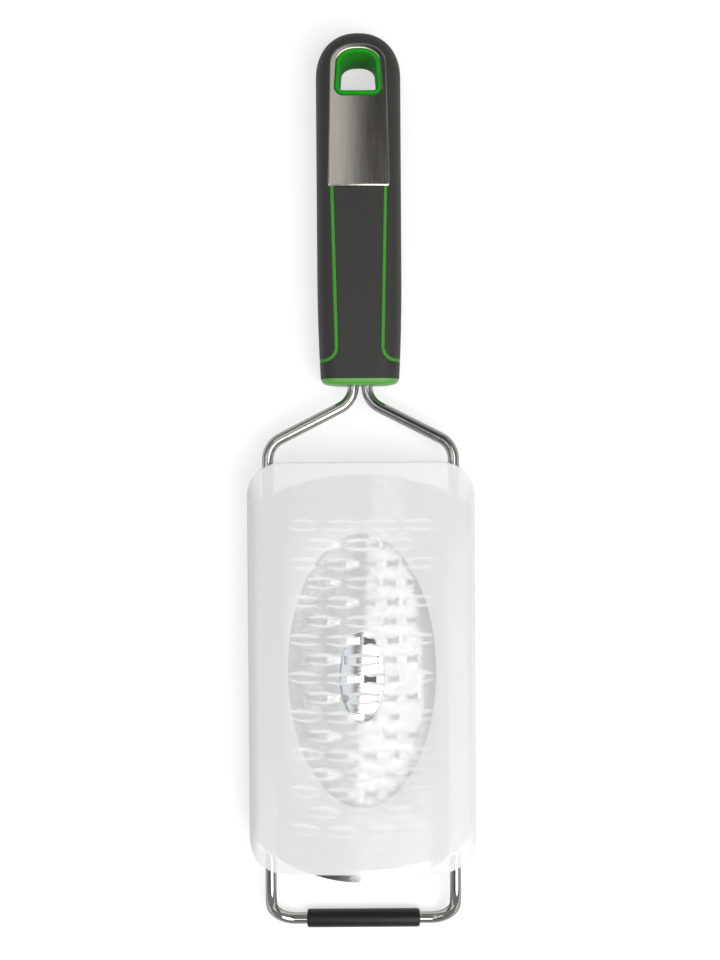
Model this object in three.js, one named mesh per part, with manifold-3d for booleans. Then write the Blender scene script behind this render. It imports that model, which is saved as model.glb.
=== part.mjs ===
import * as THREE from 'three';
import { mergeVertices } from 'three/addons/utils/BufferGeometryUtils.js';
import Module from 'manifold-3d';

const wasm = await Module();
wasm.setup();

// Hand grater lying on its back, in millimetres.
// X runs across, Y from the foot to the top of the handle, Z up from the table.

// Gap that is left where one piece is let into another or rests on it.
const fit = 0.3;

// Wire frame.
const wireDiameter = 4;
const wireSpacing = 67;
const strandSpacing = 4.9;
const shoulderSlope = THREE.MathUtils.degToRad(27);
const shoulderRadius = 8.5;
const sideRun = 164;
const footSlope = THREE.MathUtils.degToRad(35);
const footBendRadius = 10;
const footTurnRadius = 8.5;
const neckLength = 5.3;
const strandDepth = 62;
const strandFlare = 2.2;
const strandFlareLength = 9;
const strandFlareRadius = 10;

// Rubber sleeve on the crossbar.
const sleeveDiameter = 6.6;
const sleeveLength = 41.5;
const sleeveRounding = 1;

// Grater plate.
const plateThickness = 0.5;
const plateLength = 144.6;
const plateFootGap = 19.1;
const plateWidth = 77;
const plateEndBow = 10;
const plateCornerRadius = 4;
const archWidth = 62;
const archRise = 9;

// Raised blades of the plate.
const toothRows = 17;
const teethInWideRow = 4;
const rowPitch = 6.8;
const toothPitch = 14;
const openingLength = 11;
const openingHeight = 4.4;
const openingEndHeight = 3;
const openingBellyLength = 4.4;
const bladeRise = 1.2;
const bladeWidth = 2.3;
const bladeNeckWidth = 1.5;
const bladeRootWidth = 2.6;
const bladeCrestLength = 3.8;
const bladeNeckSpan = 8.4;
const bladeLap = 0.8;

// Blade guard.
const guardLength = 145.4;
const guardWall = 1.3;
const guardSideClearance = 0.7;
const guardTopClearance = 0.8;
const guardLipClearance = 0.3;
const guardWireClearance = 0.8;
const guardRise = 3.6;
const guardEdgeRadius = 5;
const guardCornerRadius = 12.5;
const guardOffset = 4;
const windowLength = 97;
const windowWidth = 52.5;
const windowDrop = 0.6;
const windowRecess = 0.4;
const cutoutLength = 31.7;
const cutoutWidth = 15.8;
const cutoutDrop = 2.9;

// Handle.
const gripLength = 122.9;
const gripWidth = 30.2;
const gripEndWidth = 28.2;
const gripTaperLength = 37;
const gripThickness = 21;
const gripDome = 16;
const gripDomePull = 0.61;
const gripEdgeDepth = 8.5;
const gripEdgeWidth = 6;
const skin = 2.2;

// Green ribs of the core that part the grips.
const ribWidth = 1.2;
const ribTopSpacing = 19;
const ribDomeSpacing = 18.2;
const ribEndSpacing = 16.4;
const ribTurnHeight = 6.4;
const ribTurnRadius = 4.5;
const ribTopMargin = 6.5;

// Squarish arch at the top of the ribs and of the cap plate: its height and how far its curves are pulled
// towards its corners.
const topArchHeight = 8;
const topArchSidePull = 0.7;
const topArchCrownPull = 0.6;

// Steel cap plate.
const capLength = 49.8;
const capWidth = 21.9;
const capShoulderWidth = 20.2;
const capTopMargin = 5.6;
const capThickness = 0.8;
const capCrownRadius = 80;
const capProud = 0.5;
const capCornerRadius = 1.2;

// Liner of the hanging hole.
const holeWidth = 13.4;
const holeTopWidth = 12.3;
const holeLength = 13.2;
const holeArch = 3.2;
const holeCornerRadius = 2;
const holeTopMargin = 8.9;
const linerWall = 1.5;
const linerProud = 0.5;
const linerEdge = 0.5;
const linerBackSink = 0.6;

// End plug of the handle.
const plugProud = 2.4;
const plugInset = 0.1;
const plugEdge = 1.7;
const plugBow = 0.9;
const spigotWidth = 14;
const spigotHeight = 9;
const spigotDepth = 7;

// How finely round shapes are divided.
const bendStep = THREE.MathUtils.degToRad(14);
const coarse = 5;
const medium = 8;
const fine = 16;
const guardEdgeSteps = 4;
const guardFrontSteps = 5;

// Levels above the table.
const wireRadius = wireDiameter / 2;
const wireLevel = gripThickness / 2;
const crossbarLevel = sleeveDiameter / 2;
const flangeBase = wireLevel + wireRadius + fit;
const flangeTop = flangeBase + plateThickness;
const archTop = flangeTop + archRise;
const bladeTop = archTop + bladeRise;
const guardCrown = bladeTop + guardTopClearance + guardWall;
const capTop = gripThickness + capProud;
const linerTop = capTop + linerProud;

// Stations along the length, counted from the outside of the sleeve.
const crossbarAt = sleeveDiameter / 2;
const footBendAt = crossbarAt + (wireLevel - crossbarLevel) / Math.tan(footSlope);
const lowerShoulderAt = footBendAt + sideRun;
const upperShoulderAt = lowerShoulderAt + (wireSpacing - strandSpacing) / 2 * Math.tan(shoulderSlope);
const plugFaceAt = upperShoulderAt + neckLength;
const gripEndAt = plugFaceAt + plugProud;
const gripTopAt = gripEndAt + gripLength;
const plateCentreAt = crossbarAt + plateFootGap + plateLength / 2;
const guardCentreAt = plateCentreAt + guardOffset;
const capEndAt = gripTopAt - capTopMargin - capLength;
const holeTopAt = gripTopAt - holeTopMargin;
const overallLength = gripTopAt;

// Radius of the arched plate, on its outside, and the height of the arch's axis.
const archRadius = ((archWidth / 2) ** 2 + archRise ** 2) / (2 * archRise);
const archAxis = archTop - archRadius;

// Half of the guard's width and the radius of its bowed front.
const guardHalfWidth = plateWidth / 2 + guardSideClearance + guardWall;
const guardArch = (guardHalfWidth ** 2 + guardRise ** 2) / (2 * guardRise);

// A long way past any piece, for cutters that must run through.
const beyond = 60;

const steel = new THREE.MeshStandardMaterial({ color: 0xc9ccce, roughness: 0.2, metalness: 1 });
const sheetSteel = new THREE.MeshStandardMaterial({ color: 0xd0d2d3, roughness: 0.25, metalness: 1 });
const brushedSteel = new THREE.MeshStandardMaterial({ color: 0xa9a49e, roughness: 0.4, metalness: 1 });
const darkRubber = new THREE.MeshStandardMaterial({ color: 0x24282a, roughness: 0.7, metalness: 0 });
const softGrip = new THREE.MeshStandardMaterial({ color: 0x42423f, roughness: 0.8, metalness: 0 });
const greenPlastic = new THREE.MeshStandardMaterial({ color: 0x3fae2f, roughness: 0.35, metalness: 0 });
const clearPlastic = new THREE.MeshStandardMaterial({
  color: 0xe4ebec,
  roughness: 0.45,
  metalness: 0,
  transparent: true,
  opacity: 0.55,
});

// Turns a closed geometry into a solid that can be joined and cut.
function solid(geometry) {
  const bare = geometry.clone();
  bare.deleteAttribute('normal');
  bare.deleteAttribute('uv');
  const welded = mergeVertices(bare, 1e-4);
  const mesh = new wasm.Mesh({
    numProp: 3,
    vertProperties: new Float32Array(welded.attributes.position.array),
    triVerts: new Uint32Array(welded.index.array),
  });
  return new wasm.Manifold(mesh);
}

// Turns a finished solid into a named mesh.
function piece(name, shape, material) {
  const mesh = shape.getMesh();
  const geometry = new THREE.BufferGeometry();
  geometry.setAttribute('position', new THREE.BufferAttribute(new Float32Array(mesh.vertProperties), 3));
  geometry.setIndex(new THREE.BufferAttribute(new Uint32Array(mesh.triVerts), 1));
  geometry.computeVertexNormals();
  const node = new THREE.Mesh(geometry, material);
  node.name = name;
  return node;
}

// A shape from the points of its right half, mirrored about the middle.
function mirrored(half) {
  const offMiddle = half.filter((point) => Math.abs(point.x) > 1e-6);
  const left = offMiddle.map((point) => new THREE.Vector2(-point.x, point.y));
  return new THREE.Shape([...half, ...left.reverse()]);
}

// A shape from the points of its upper right quarter, mirrored both ways.
function mirroredTwice(quarter) {
  const lower = quarter.map((point) => new THREE.Vector2(point.x, -point.y));
  return mirrored([...lower.reverse(), ...quarter]);
}

// An outline in plan, raised from one level to another.
function upright(outline, low, high, segments = medium) {
  const geometry = new THREE.ExtrudeGeometry(outline, {
    depth: high - low,
    bevelEnabled: false,
    curveSegments: segments,
  });
  geometry.translate(0, 0, low);
  return geometry;
}

// A section across the object, drawn in X and Z, run along the length from one station to another.
function lengthwise(section, from, to, segments = medium) {
  const geometry = new THREE.ExtrudeGeometry(section, {
    depth: to - from,
    bevelEnabled: false,
    curveSegments: segments,
  });
  geometry.rotateX(Math.PI / 2);
  geometry.translate(0, to, 0);
  return geometry;
}

// A block between two corners.
function block(low, high) {
  const size = new THREE.Vector3().subVectors(high, low);
  const geometry = new THREE.BoxGeometry(size.x, size.y, size.z);
  geometry.translate(low.x + size.x / 2, low.y + size.y / 2, low.z + size.z / 2);
  return geometry;
}

// A wire's centre line: straight runs joined by round bends, with stations only where they are needed.
class BentWire extends THREE.Curve {
  constructor(corners) {
    super();
    this.stations = [{ point: corners[0].at, tangent: direction(corners[0].at, corners[1].at) }];
    for (let i = 1; i < corners.length - 1; i += 1) {
      this.addBend(corners[i - 1].at, corners[i], corners[i + 1].at);
    }
    const last = corners[corners.length - 1].at;
    this.stations.push({ point: last, tangent: direction(corners[corners.length - 2].at, last) });
  }

  addBend(before, corner, after) {
    const inward = direction(before, corner.at);
    const outward = direction(corner.at, after);
    const turn = inward.angleTo(outward);
    const reach = corner.radius * Math.tan(turn / 2);
    const start = corner.at.clone().addScaledVector(inward, -reach);
    const side = outward.clone().addScaledVector(inward, -outward.dot(inward)).normalize();
    const count = Math.max(2, Math.ceil(turn / bendStep));
    for (let i = 0; i <= count; i += 1) {
      const angle = turn * i / count;
      const point = start.clone();
      point.addScaledVector(inward, corner.radius * Math.sin(angle));
      point.addScaledVector(side, corner.radius * (1 - Math.cos(angle)));
      const tangent = inward.clone().multiplyScalar(Math.cos(angle)).addScaledVector(side, Math.sin(angle));
      this.stations.push({ point, tangent });
    }
  }

  getPointAt(u) {
    return this.stations[Math.round(u * (this.stations.length - 1))].point.clone();
  }

  getTangentAt(u) {
    return this.stations[Math.round(u * (this.stations.length - 1))].tangent.clone();
  }
}

function direction(from, to) {
  return new THREE.Vector3().subVectors(to, from).normalize();
}

// The wire's corners on one side, from the tip inside the handle to the crossbar.
function wireCorners(side) {
  const strandX = side * strandSpacing / 2;
  const runX = side * wireSpacing / 2;
  const tipAt = plugFaceAt + strandDepth;
  return [
    { at: new THREE.Vector3(strandX + side * strandFlare, tipAt, wireLevel) },
    { at: new THREE.Vector3(strandX, tipAt - strandFlareLength, wireLevel), radius: strandFlareRadius },
    { at: new THREE.Vector3(strandX, upperShoulderAt, wireLevel), radius: shoulderRadius },
    { at: new THREE.Vector3(runX, lowerShoulderAt, wireLevel), radius: shoulderRadius },
    { at: new THREE.Vector3(runX, footBendAt, wireLevel), radius: footBendRadius },
    { at: new THREE.Vector3(runX, crossbarAt, crossbarLevel), radius: footTurnRadius },
  ];
}

// The whole bent wire with a given radius, so that its channel in the handle follows it.
function bentWire(radius) {
  const centreLine = new BentWire([...wireCorners(-1), ...wireCorners(1).reverse()]);
  const section = new THREE.Shape();
  section.absarc(0, 0, radius, 0, 2 * Math.PI);
  return new THREE.ExtrudeGeometry(section, {
    steps: centreLine.stations.length - 1,
    curveSegments: medium,
    extrudePath: centreLine,
  });
}

const wire = solid(bentWire(wireRadius));
const wireChannel = solid(bentWire(wireRadius + fit));

// Rubber tube round the crossbar, with rounded ends.
function footSleeve() {
  const outer = sleeveDiameter / 2;
  const bore = wireRadius + fit;
  const half = sleeveLength / 2;
  const profile = [
    new THREE.Vector2(bore, -half),
    new THREE.Vector2(outer - sleeveRounding, -half),
    new THREE.Vector2(outer, -half + sleeveRounding),
    new THREE.Vector2(outer, half - sleeveRounding),
    new THREE.Vector2(outer - sleeveRounding, half),
    new THREE.Vector2(bore, half),
    new THREE.Vector2(bore, -half),
  ];
  const geometry = new THREE.LatheGeometry(profile, 2 * medium);
  geometry.rotateZ(Math.PI / 2);
  geometry.translate(0, crossbarAt, crossbarLevel);
  return solid(geometry);
}

// Section of the plate: flat flanges on the wires and an arch between them.
function plateSection() {
  const section = new THREE.Shape();
  const reach = Math.asin(archWidth / 2 / archRadius);
  const crest = Math.PI / 2;
  section.moveTo(plateWidth / 2, flangeBase);
  section.lineTo(plateWidth / 2, flangeTop);
  section.absarc(0, archAxis, archRadius, crest - reach, crest + reach);
  section.lineTo(-plateWidth / 2, flangeTop);
  section.lineTo(-plateWidth / 2, flangeBase);
  section.absarc(0, archAxis - plateThickness, archRadius, crest + reach, crest - reach, true);
  return section;
}

// Outline of the plate in plan: straight sides and bowed ends with rounded corners.
function plateOutline() {
  const half = plateWidth / 2;
  const bowRadius = (half ** 2 + plateEndBow ** 2) / (2 * plateEndBow);
  const bowCentre = plateLength / 2 - bowRadius;
  const cornerX = half - plateCornerRadius;
  const cornerY = bowCentre + Math.sqrt((bowRadius - plateCornerRadius) ** 2 - cornerX ** 2);
  const bowStart = Math.atan2(cornerY - bowCentre, cornerX);
  const outline = new THREE.Shape();
  outline.absarc(cornerX, plateCentreAt + cornerY, plateCornerRadius, 0, bowStart);
  outline.absarc(0, plateCentreAt + bowCentre, bowRadius, bowStart, Math.PI - bowStart);
  outline.absarc(-cornerX, plateCentreAt + cornerY, plateCornerRadius, Math.PI - bowStart, Math.PI);
  outline.absarc(-cornerX, plateCentreAt - cornerY, plateCornerRadius, Math.PI, Math.PI + bowStart);
  outline.absarc(0, plateCentreAt - bowCentre, bowRadius, Math.PI + bowStart, 2 * Math.PI - bowStart);
  outline.absarc(cornerX, plateCentreAt - cornerY, plateCornerRadius, 2 * Math.PI - bowStart, 2 * Math.PI);
  return outline;
}

// Opening round one blade: a barrel, seen from straight above it.
function toothOpening() {
  const outline = mirroredTwice([
    new THREE.Vector2(openingLength / 2, openingEndHeight / 2),
    new THREE.Vector2(openingBellyLength / 2, openingHeight / 2),
  ]);
  return solid(upright(outline, -2 * plateThickness, 2 * bladeRise));
}

// One raised blade: a strip that ramps up from the sheet, narrow at its necks and wider along its crest.
function toothBlade() {
  const root = openingLength / 2 + bladeLap;
  const crest = bladeCrestLength / 2;
  const rootLevel = Math.sqrt(archRadius ** 2 - root ** 2) - archRadius;
  const ramp = mirrored([
    new THREE.Vector2(crest, bladeRise - plateThickness),
    new THREE.Vector2(root, rootLevel - plateThickness),
    new THREE.Vector2(root, rootLevel),
    new THREE.Vector2(crest, bladeRise),
  ]);
  const outline = mirroredTwice([
    new THREE.Vector2(root, bladeRootWidth / 2),
    new THREE.Vector2(bladeNeckSpan / 2, bladeNeckWidth / 2),
    new THREE.Vector2(crest, bladeWidth / 2),
  ]);
  const strip = solid(lengthwise(ramp, -openingHeight, openingHeight));
  return strip.intersect(solid(upright(outline, -2 * bladeRise, 2 * bladeRise)));
}

// Where each blade sits: its angle round the arch and its station along the length.
function toothPlaces() {
  const places = [];
  for (let row = 0; row < toothRows; row += 1) {
    const count = teethInWideRow - row % 2;
    const at = plateCentreAt + (row - (toothRows - 1) / 2) * rowPitch;
    for (let i = 0; i < count; i += 1) {
      const angle = (i - (count - 1) / 2) * toothPitch / archRadius;
      places.push({ angle, at });
    }
  }
  return places;
}

// Moves a tooth from the middle of the table to its place on the arch.
function onArch(tooth, place) {
  const tilt = new THREE.Matrix4().makeRotationY(place.angle);
  const x = archRadius * Math.sin(place.angle);
  const z = archAxis + archRadius * Math.cos(place.angle);
  tilt.setPosition(x, place.at, z);
  return tooth.transform(tilt.elements);
}

function graterPlate() {
  const half = plateLength / 2 + fit;
  const arched = solid(lengthwise(plateSection(), plateCentreAt - half, plateCentreAt + half));
  let sheet = arched.intersect(solid(upright(plateOutline(), 0, beyond, coarse)));
  const opening = toothOpening();
  const blade = toothBlade();
  for (const place of toothPlaces()) {
    sheet = sheet.subtract(onArch(opening, place));
  }
  for (const place of toothPlaces()) {
    sheet = sheet.add(onArch(blade, place));
  }
  return sheet;
}

// Right half of the guard's outside, drawn in by a given depth: the side wall from its foot up, the rounded
// edge and the bowed front as far as the middle.
function guardContour(depth, foot) {
  const centreX = guardHalfWidth - guardEdgeRadius;
  const archCentre = guardCrown - guardArch;
  const centreZ = archCentre + Math.sqrt((guardArch - guardEdgeRadius) ** 2 - centreX ** 2);
  const lean = Math.atan2(centreZ - archCentre, centreX);
  const edge = guardEdgeRadius - depth;
  const front = guardArch - depth;
  const points = [new THREE.Vector2(guardHalfWidth - depth, foot)];
  for (let i = 0; i <= guardEdgeSteps; i += 1) {
    const angle = lean * i / guardEdgeSteps;
    points.push(new THREE.Vector2(centreX + edge * Math.cos(angle), centreZ + edge * Math.sin(angle)));
  }
  for (let i = 1; i <= guardFrontSteps; i += 1) {
    const angle = lean + (Math.PI / 2 - lean) * i / guardFrontSteps;
    points.push(new THREE.Vector2(front * Math.cos(angle), archCentre + front * Math.sin(angle)));
  }
  return points;
}

// Whole section of the guard, with the two lips that hook under the plate's flanges.
function guardSection() {
  const lipTop = flangeBase - guardLipClearance;
  const lipFoot = lipTop - guardWall;
  const lipEnd = wireSpacing / 2 + wireRadius + guardWireClearance;
  return mirrored([
    ...guardContour(guardWall, lipTop).reverse(),
    new THREE.Vector2(lipEnd, lipTop),
    new THREE.Vector2(lipEnd, lipFoot),
    ...guardContour(0, lipFoot),
  ]);
}

// Everything above the floor of the window's recess.
function recessSection() {
  const floor = guardContour(windowRecess, flangeTop);
  return mirrored([...floor.reverse(), new THREE.Vector2(guardHalfWidth, beyond)]);
}

// A rectangle in plan with rounded corners, centred on the guard.
function guardOutline() {
  const x = guardHalfWidth - guardCornerRadius + fit;
  const y = guardLength / 2 - guardCornerRadius;
  const radius = guardCornerRadius;
  const outline = new THREE.Shape();
  outline.absarc(x, guardCentreAt + y, radius, 0, Math.PI / 2);
  outline.absarc(-x, guardCentreAt + y, radius, Math.PI / 2, Math.PI);
  outline.absarc(-x, guardCentreAt - y, radius, Math.PI, 1.5 * Math.PI);
  outline.absarc(x, guardCentreAt - y, radius, 1.5 * Math.PI, 2 * Math.PI);
  return outline;
}

// An oval in plan that lies a little below the guard's middle.
function ovalOutline(width, length, drop) {
  const outline = new THREE.Shape();
  outline.absellipse(0, guardCentreAt - drop, width / 2, length / 2, 0, 2 * Math.PI);
  return outline;
}

function bladeGuard() {
  const from = guardCentreAt - guardLength / 2 - fit;
  const to = guardCentreAt + guardLength / 2 + fit;
  const outline = solid(upright(guardOutline(), 0, beyond, coarse));
  const cutout = solid(upright(ovalOutline(cutoutWidth, cutoutLength, cutoutDrop), bladeTop, beyond, fine));
  const window = solid(upright(ovalOutline(windowWidth, windowLength, windowDrop), flangeTop, beyond, fine));
  const recess = solid(lengthwise(recessSection(), from, to)).intersect(window);
  const shell = solid(lengthwise(guardSection(), from, to));
  return shell.intersect(outline).subtract(recess).subtract(cutout);
}

// Outline of the handle in plan, with a slightly squarish dome on top. It runs a little past the lower end,
// which is cut off square.
function gripOutline() {
  const half = gripWidth / 2;
  const endHalf = gripEndWidth / 2;
  const domeAt = gripTopAt - gripDome;
  const below = gripEndAt - 2 * gripEdgeWidth;
  const taperTop = gripEndAt + gripTaperLength;
  const taperBend = gripEndAt + gripTaperLength / 2;
  const domeBend = domeAt + gripDome * gripDomePull;
  const domeFlat = half * gripDomePull;
  const outline = new THREE.Shape();
  outline.moveTo(-endHalf, below);
  outline.lineTo(endHalf, below);
  outline.lineTo(endHalf, gripEndAt);
  outline.quadraticCurveTo(half, taperBend, half, taperTop);
  outline.lineTo(half, domeAt);
  outline.bezierCurveTo(half, domeBend, domeFlat, gripTopAt, 0, gripTopAt);
  outline.bezierCurveTo(-domeFlat, gripTopAt, -half, domeBend, -half, domeAt);
  outline.lineTo(-half, taperTop);
  outline.quadraticCurveTo(-half, taperBend, -endHalf, gripEndAt);
  return outline;
}

// The handle's body with rounded edges, drawn in by a given depth all round.
function gripBody(depth) {
  const geometry = new THREE.ExtrudeGeometry(gripOutline(), {
    depth: gripThickness - 2 * gripEdgeDepth,
    bevelThickness: gripEdgeDepth - depth,
    bevelSize: gripEdgeWidth - depth / 2,
    bevelOffset: -gripEdgeWidth - depth / 2,
    bevelSegments: coarse,
    curveSegments: coarse,
  });
  geometry.translate(0, 0, gripEdgeDepth);
  const below = block(
    new THREE.Vector3(-beyond, gripEndAt - beyond, -beyond),
    new THREE.Vector3(beyond, gripEndAt, beyond),
  );
  return solid(geometry).subtract(solid(below));
}

// Draws a squarish arch from the right shoulder over the top to the left shoulder.
function archedTop(outline, half, top) {
  const shoulder = top - topArchHeight;
  const bend = shoulder + topArchHeight * topArchSidePull;
  const flat = half * topArchCrownPull;
  outline.lineTo(half, shoulder);
  outline.bezierCurveTo(half, bend, flat, top, 0, top);
  outline.bezierCurveTo(-flat, top, -half, bend, -half, shoulder);
}

// Outline of the panels between the ribs, drawn out by a given margin: a tall arch that flares out below.
function panelOutline(margin) {
  const domeHalf = ribDomeSpacing / 2 + margin;
  const topHalf = ribTopSpacing / 2 + margin;
  const endHalf = ribEndSpacing / 2 + margin;
  const turnCentre = ribEndSpacing / 2 + ribTurnRadius;
  const turnAt = gripEndAt + ribTurnHeight + ribTurnRadius;
  const radius = ribTurnRadius - margin;
  const below = gripEndAt - fit;
  const outline = new THREE.Shape();
  outline.moveTo(beyond, below);
  outline.lineTo(beyond, turnAt - radius);
  outline.absarc(turnCentre, turnAt, radius, 1.5 * Math.PI, Math.PI, true);
  outline.lineTo(topHalf, capEndAt);
  archedTop(outline, domeHalf, gripTopAt - ribTopMargin + margin);
  outline.lineTo(-topHalf, capEndAt);
  outline.lineTo(-endHalf, turnAt);
  outline.absarc(-turnCentre, turnAt, radius, 0, 1.5 * Math.PI, true);
  outline.lineTo(-beyond, below);
  return outline;
}

function panelPrism(margin) {
  return solid(upright(panelOutline(margin), -beyond, beyond, coarse));
}

// Outline of the cap plate, drawn out by a given margin: square below, arched above.
function capOutline(margin) {
  const endHalf = capWidth / 2 + margin;
  const topHalf = capShoulderWidth / 2 + margin;
  const end = capEndAt - margin;
  const outline = new THREE.Shape();
  outline.moveTo(-endHalf + capCornerRadius, end);
  outline.lineTo(endHalf - capCornerRadius, end);
  outline.quadraticCurveTo(endHalf, end, endHalf, end + capCornerRadius);
  archedTop(outline, topHalf, gripTopAt - capTopMargin + margin);
  outline.lineTo(-endHalf, end + capCornerRadius);
  outline.quadraticCurveTo(-endHalf, end, -endHalf + capCornerRadius, end);
  return outline;
}

// Everything above the crowned surface that lies a given depth below the cap plate's top.
function aboveCrown(depth) {
  const radius = capCrownRadius - depth;
  const centre = capTop - capCrownRadius;
  const reach = Math.asin(gripWidth / 2 / radius);
  const section = new THREE.Shape();
  section.absarc(0, centre, radius, Math.PI / 2 - reach, Math.PI / 2 + reach);
  section.lineTo(-gripWidth / 2, beyond);
  section.lineTo(gripWidth / 2, beyond);
  return solid(lengthwise(section, gripEndAt, gripTopAt, coarse));
}

// The room that the cap plate takes up, drawn out by a given margin.
function capRoom(margin) {
  const prism = solid(upright(capOutline(margin), -beyond, beyond, coarse));
  return prism.intersect(aboveCrown(capThickness + margin));
}

// Outline of the hanging hole, drawn out by a given margin: flat below, arched above.
function holeOutline(margin) {
  const endHalf = holeWidth / 2 + margin;
  const topHalf = holeTopWidth / 2 + margin;
  const end = holeTopAt - holeLength - margin;
  const top = holeTopAt + margin;
  const shoulder = top - holeArch;
  const corner = holeCornerRadius;
  const outline = new THREE.Shape();
  outline.moveTo(-endHalf + corner, end);
  outline.lineTo(endHalf - corner, end);
  outline.quadraticCurveTo(endHalf, end, endHalf, end + corner);
  outline.lineTo(topHalf, shoulder - corner / 2);
  outline.bezierCurveTo(topHalf, shoulder + corner, topHalf / 2, top, 0, top);
  outline.bezierCurveTo(-topHalf / 2, top, -topHalf, shoulder + corner, -topHalf, shoulder - corner / 2);
  outline.lineTo(-endHalf, end + corner);
  outline.quadraticCurveTo(-endHalf, end, -endHalf + corner, end);
  return outline;
}

// Green tube through the handle, with softened edges at its two ends.
function holeLiner() {
  const ring = new THREE.ExtrudeGeometry(holeOutline(linerWall), {
    depth: linerTop - linerBackSink - 2 * linerEdge,
    bevelThickness: linerEdge,
    bevelSize: linerEdge,
    bevelOffset: -linerEdge,
    bevelSegments: 2,
    curveSegments: coarse,
  });
  ring.translate(0, 0, linerBackSink + linerEdge);
  return solid(ring).subtract(solid(upright(holeOutline(0), -beyond, beyond, coarse)));
}

// End face of the handle, drawn in by a given depth: an oval with flat sides.
function endSection(depth) {
  const half = gripEndWidth / 2 - depth;
  const low = depth;
  const high = gripThickness - depth;
  const wide = gripEdgeWidth;
  const deep = gripEdgeDepth;
  const section = new THREE.Shape();
  section.absellipse(half - wide, high - deep, wide, deep, 0, Math.PI / 2);
  section.absellipse(-half + wide, high - deep, wide, deep, Math.PI / 2, Math.PI);
  section.absellipse(-half + wide, low + deep, wide, deep, Math.PI, 1.5 * Math.PI);
  section.absellipse(half - wide, low + deep, wide, deep, 1.5 * Math.PI, 2 * Math.PI);
  return section;
}

// Square stub round the two strands that plugs into the core.
function spigot(margin) {
  const x = spigotWidth / 2 + margin;
  const z = spigotHeight / 2 + margin;
  return solid(block(
    new THREE.Vector3(-x, gripEndAt - plugProud / 2, wireLevel - z),
    new THREE.Vector3(x, gripEndAt + spigotDepth + margin, wireLevel + z),
  ));
}

// Everything behind the end plug's bowed face.
function behindBow() {
  const half = gripEndWidth / 2;
  const radius = (half ** 2 + plugBow ** 2) / (2 * plugBow);
  const reach = Math.asin(half / radius);
  const outline = new THREE.Shape();
  outline.absarc(0, plugFaceAt + radius, radius, 1.5 * Math.PI - reach, 1.5 * Math.PI + reach);
  outline.lineTo(half, gripTopAt);
  outline.lineTo(-half, gripTopAt);
  return solid(upright(outline, -beyond, beyond, coarse));
}

function endPlug() {
  const face = new THREE.ExtrudeGeometry(endSection(plugInset + plugEdge), {
    depth: plugProud - fit - plugEdge,
    bevelThickness: plugEdge,
    bevelSize: plugEdge,
    bevelSegments: 3,
    curveSegments: coarse,
  });
  face.rotateX(Math.PI / 2);
  face.translate(0, gripEndAt - fit, 0);
  const inside = block(
    new THREE.Vector3(-beyond, gripEndAt - fit, -beyond),
    new THREE.Vector3(beyond, gripEndAt + beyond, beyond),
  );
  return solid(face).subtract(solid(inside))
    .intersect(behindBow())
    .add(spigot(0))
    .subtract(wireChannel);
}

// Parts of the handle that several pieces share.
const grip = gripBody(0);
const underSkin = gripBody(skin);
const linerRoom = solid(upright(holeOutline(linerWall + fit), -beyond, beyond, coarse));
const skinAlone = grip.subtract(gripBody(skin - fit));

// Half of the space, in front of or behind the handle's parting plane.
function halfSpace(front) {
  const low = front ? wireLevel + fit / 2 : -beyond;
  const high = front ? beyond : wireLevel - fit / 2;
  return solid(block(
    new THREE.Vector3(-beyond, -beyond, low),
    new THREE.Vector3(beyond, gripTopAt + beyond, high),
  ));
}

// Everything above the cap plate's lower end.
function aboveCapEnd(margin) {
  return solid(block(
    new THREE.Vector3(-beyond, capEndAt - margin, -beyond),
    new THREE.Vector3(beyond, gripTopAt + beyond, beyond),
  ));
}

// Green core: a body under the soft skin, ribs between the grips and a bed round the hanging hole.
function handleCore() {
  const ribs = panelPrism(ribWidth / 2).subtract(panelPrism(-ribWidth / 2));
  const bed = panelPrism(ribWidth / 2).intersect(aboveCapEnd(0));
  return underSkin.add(ribs.add(bed).intersect(grip))
    .subtract(capRoom(fit))
    .subtract(linerRoom)
    .subtract(spigot(fit))
    .subtract(wireChannel);
}

// Soft panel between the ribs, with half of the band round the handle's lower end.
function panelGrip(front) {
  return skinAlone.intersect(panelPrism(-ribWidth / 2 - fit))
    .intersect(halfSpace(front))
    .subtract(aboveCapEnd(fit));
}

// Soft band up one side, over the top and down the other side.
function sideGrip() {
  return skinAlone.subtract(panelPrism(ribWidth / 2 + fit)).subtract(capRoom(fit));
}

function capPlate() {
  return capRoom(0).subtract(aboveCrown(0)).subtract(linerRoom);
}

const grater = new THREE.Group();
grater.name = 'hand_grater';
grater.add(piece('wire_frame', wire, steel));
grater.add(piece('foot_sleeve', footSleeve(), darkRubber));
grater.add(piece('grater_plate', graterPlate(), sheetSteel));
grater.add(piece('blade_guard', bladeGuard(), clearPlastic));
grater.add(piece('handle_core', handleCore(), greenPlastic));
grater.add(piece('front_grip', panelGrip(true), softGrip));
grater.add(piece('rear_grip', panelGrip(false), softGrip));
grater.add(piece('side_grip', sideGrip(), softGrip));
grater.add(piece('cap_plate', capPlate(), brushedSteel));
grater.add(piece('hole_liner', holeLiner(), greenPlastic));
grater.add(piece('end_plug', endPlug(), greenPlastic));
grater.position.y = -overallLength / 2;

export default grater;
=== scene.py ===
# %% [markdown]
# # A hand grater, dressed for its portrait
# The grater lies on its back and is seen from straight above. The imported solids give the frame: every
# piece that is modelled here replaces one solid and rides on the same body. The box round the solids is
# kept, because the dressed grater may not grow out of it.

# %% Load the frame
import math

import bmesh
import bpy
from mathutils import Matrix, Vector


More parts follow.
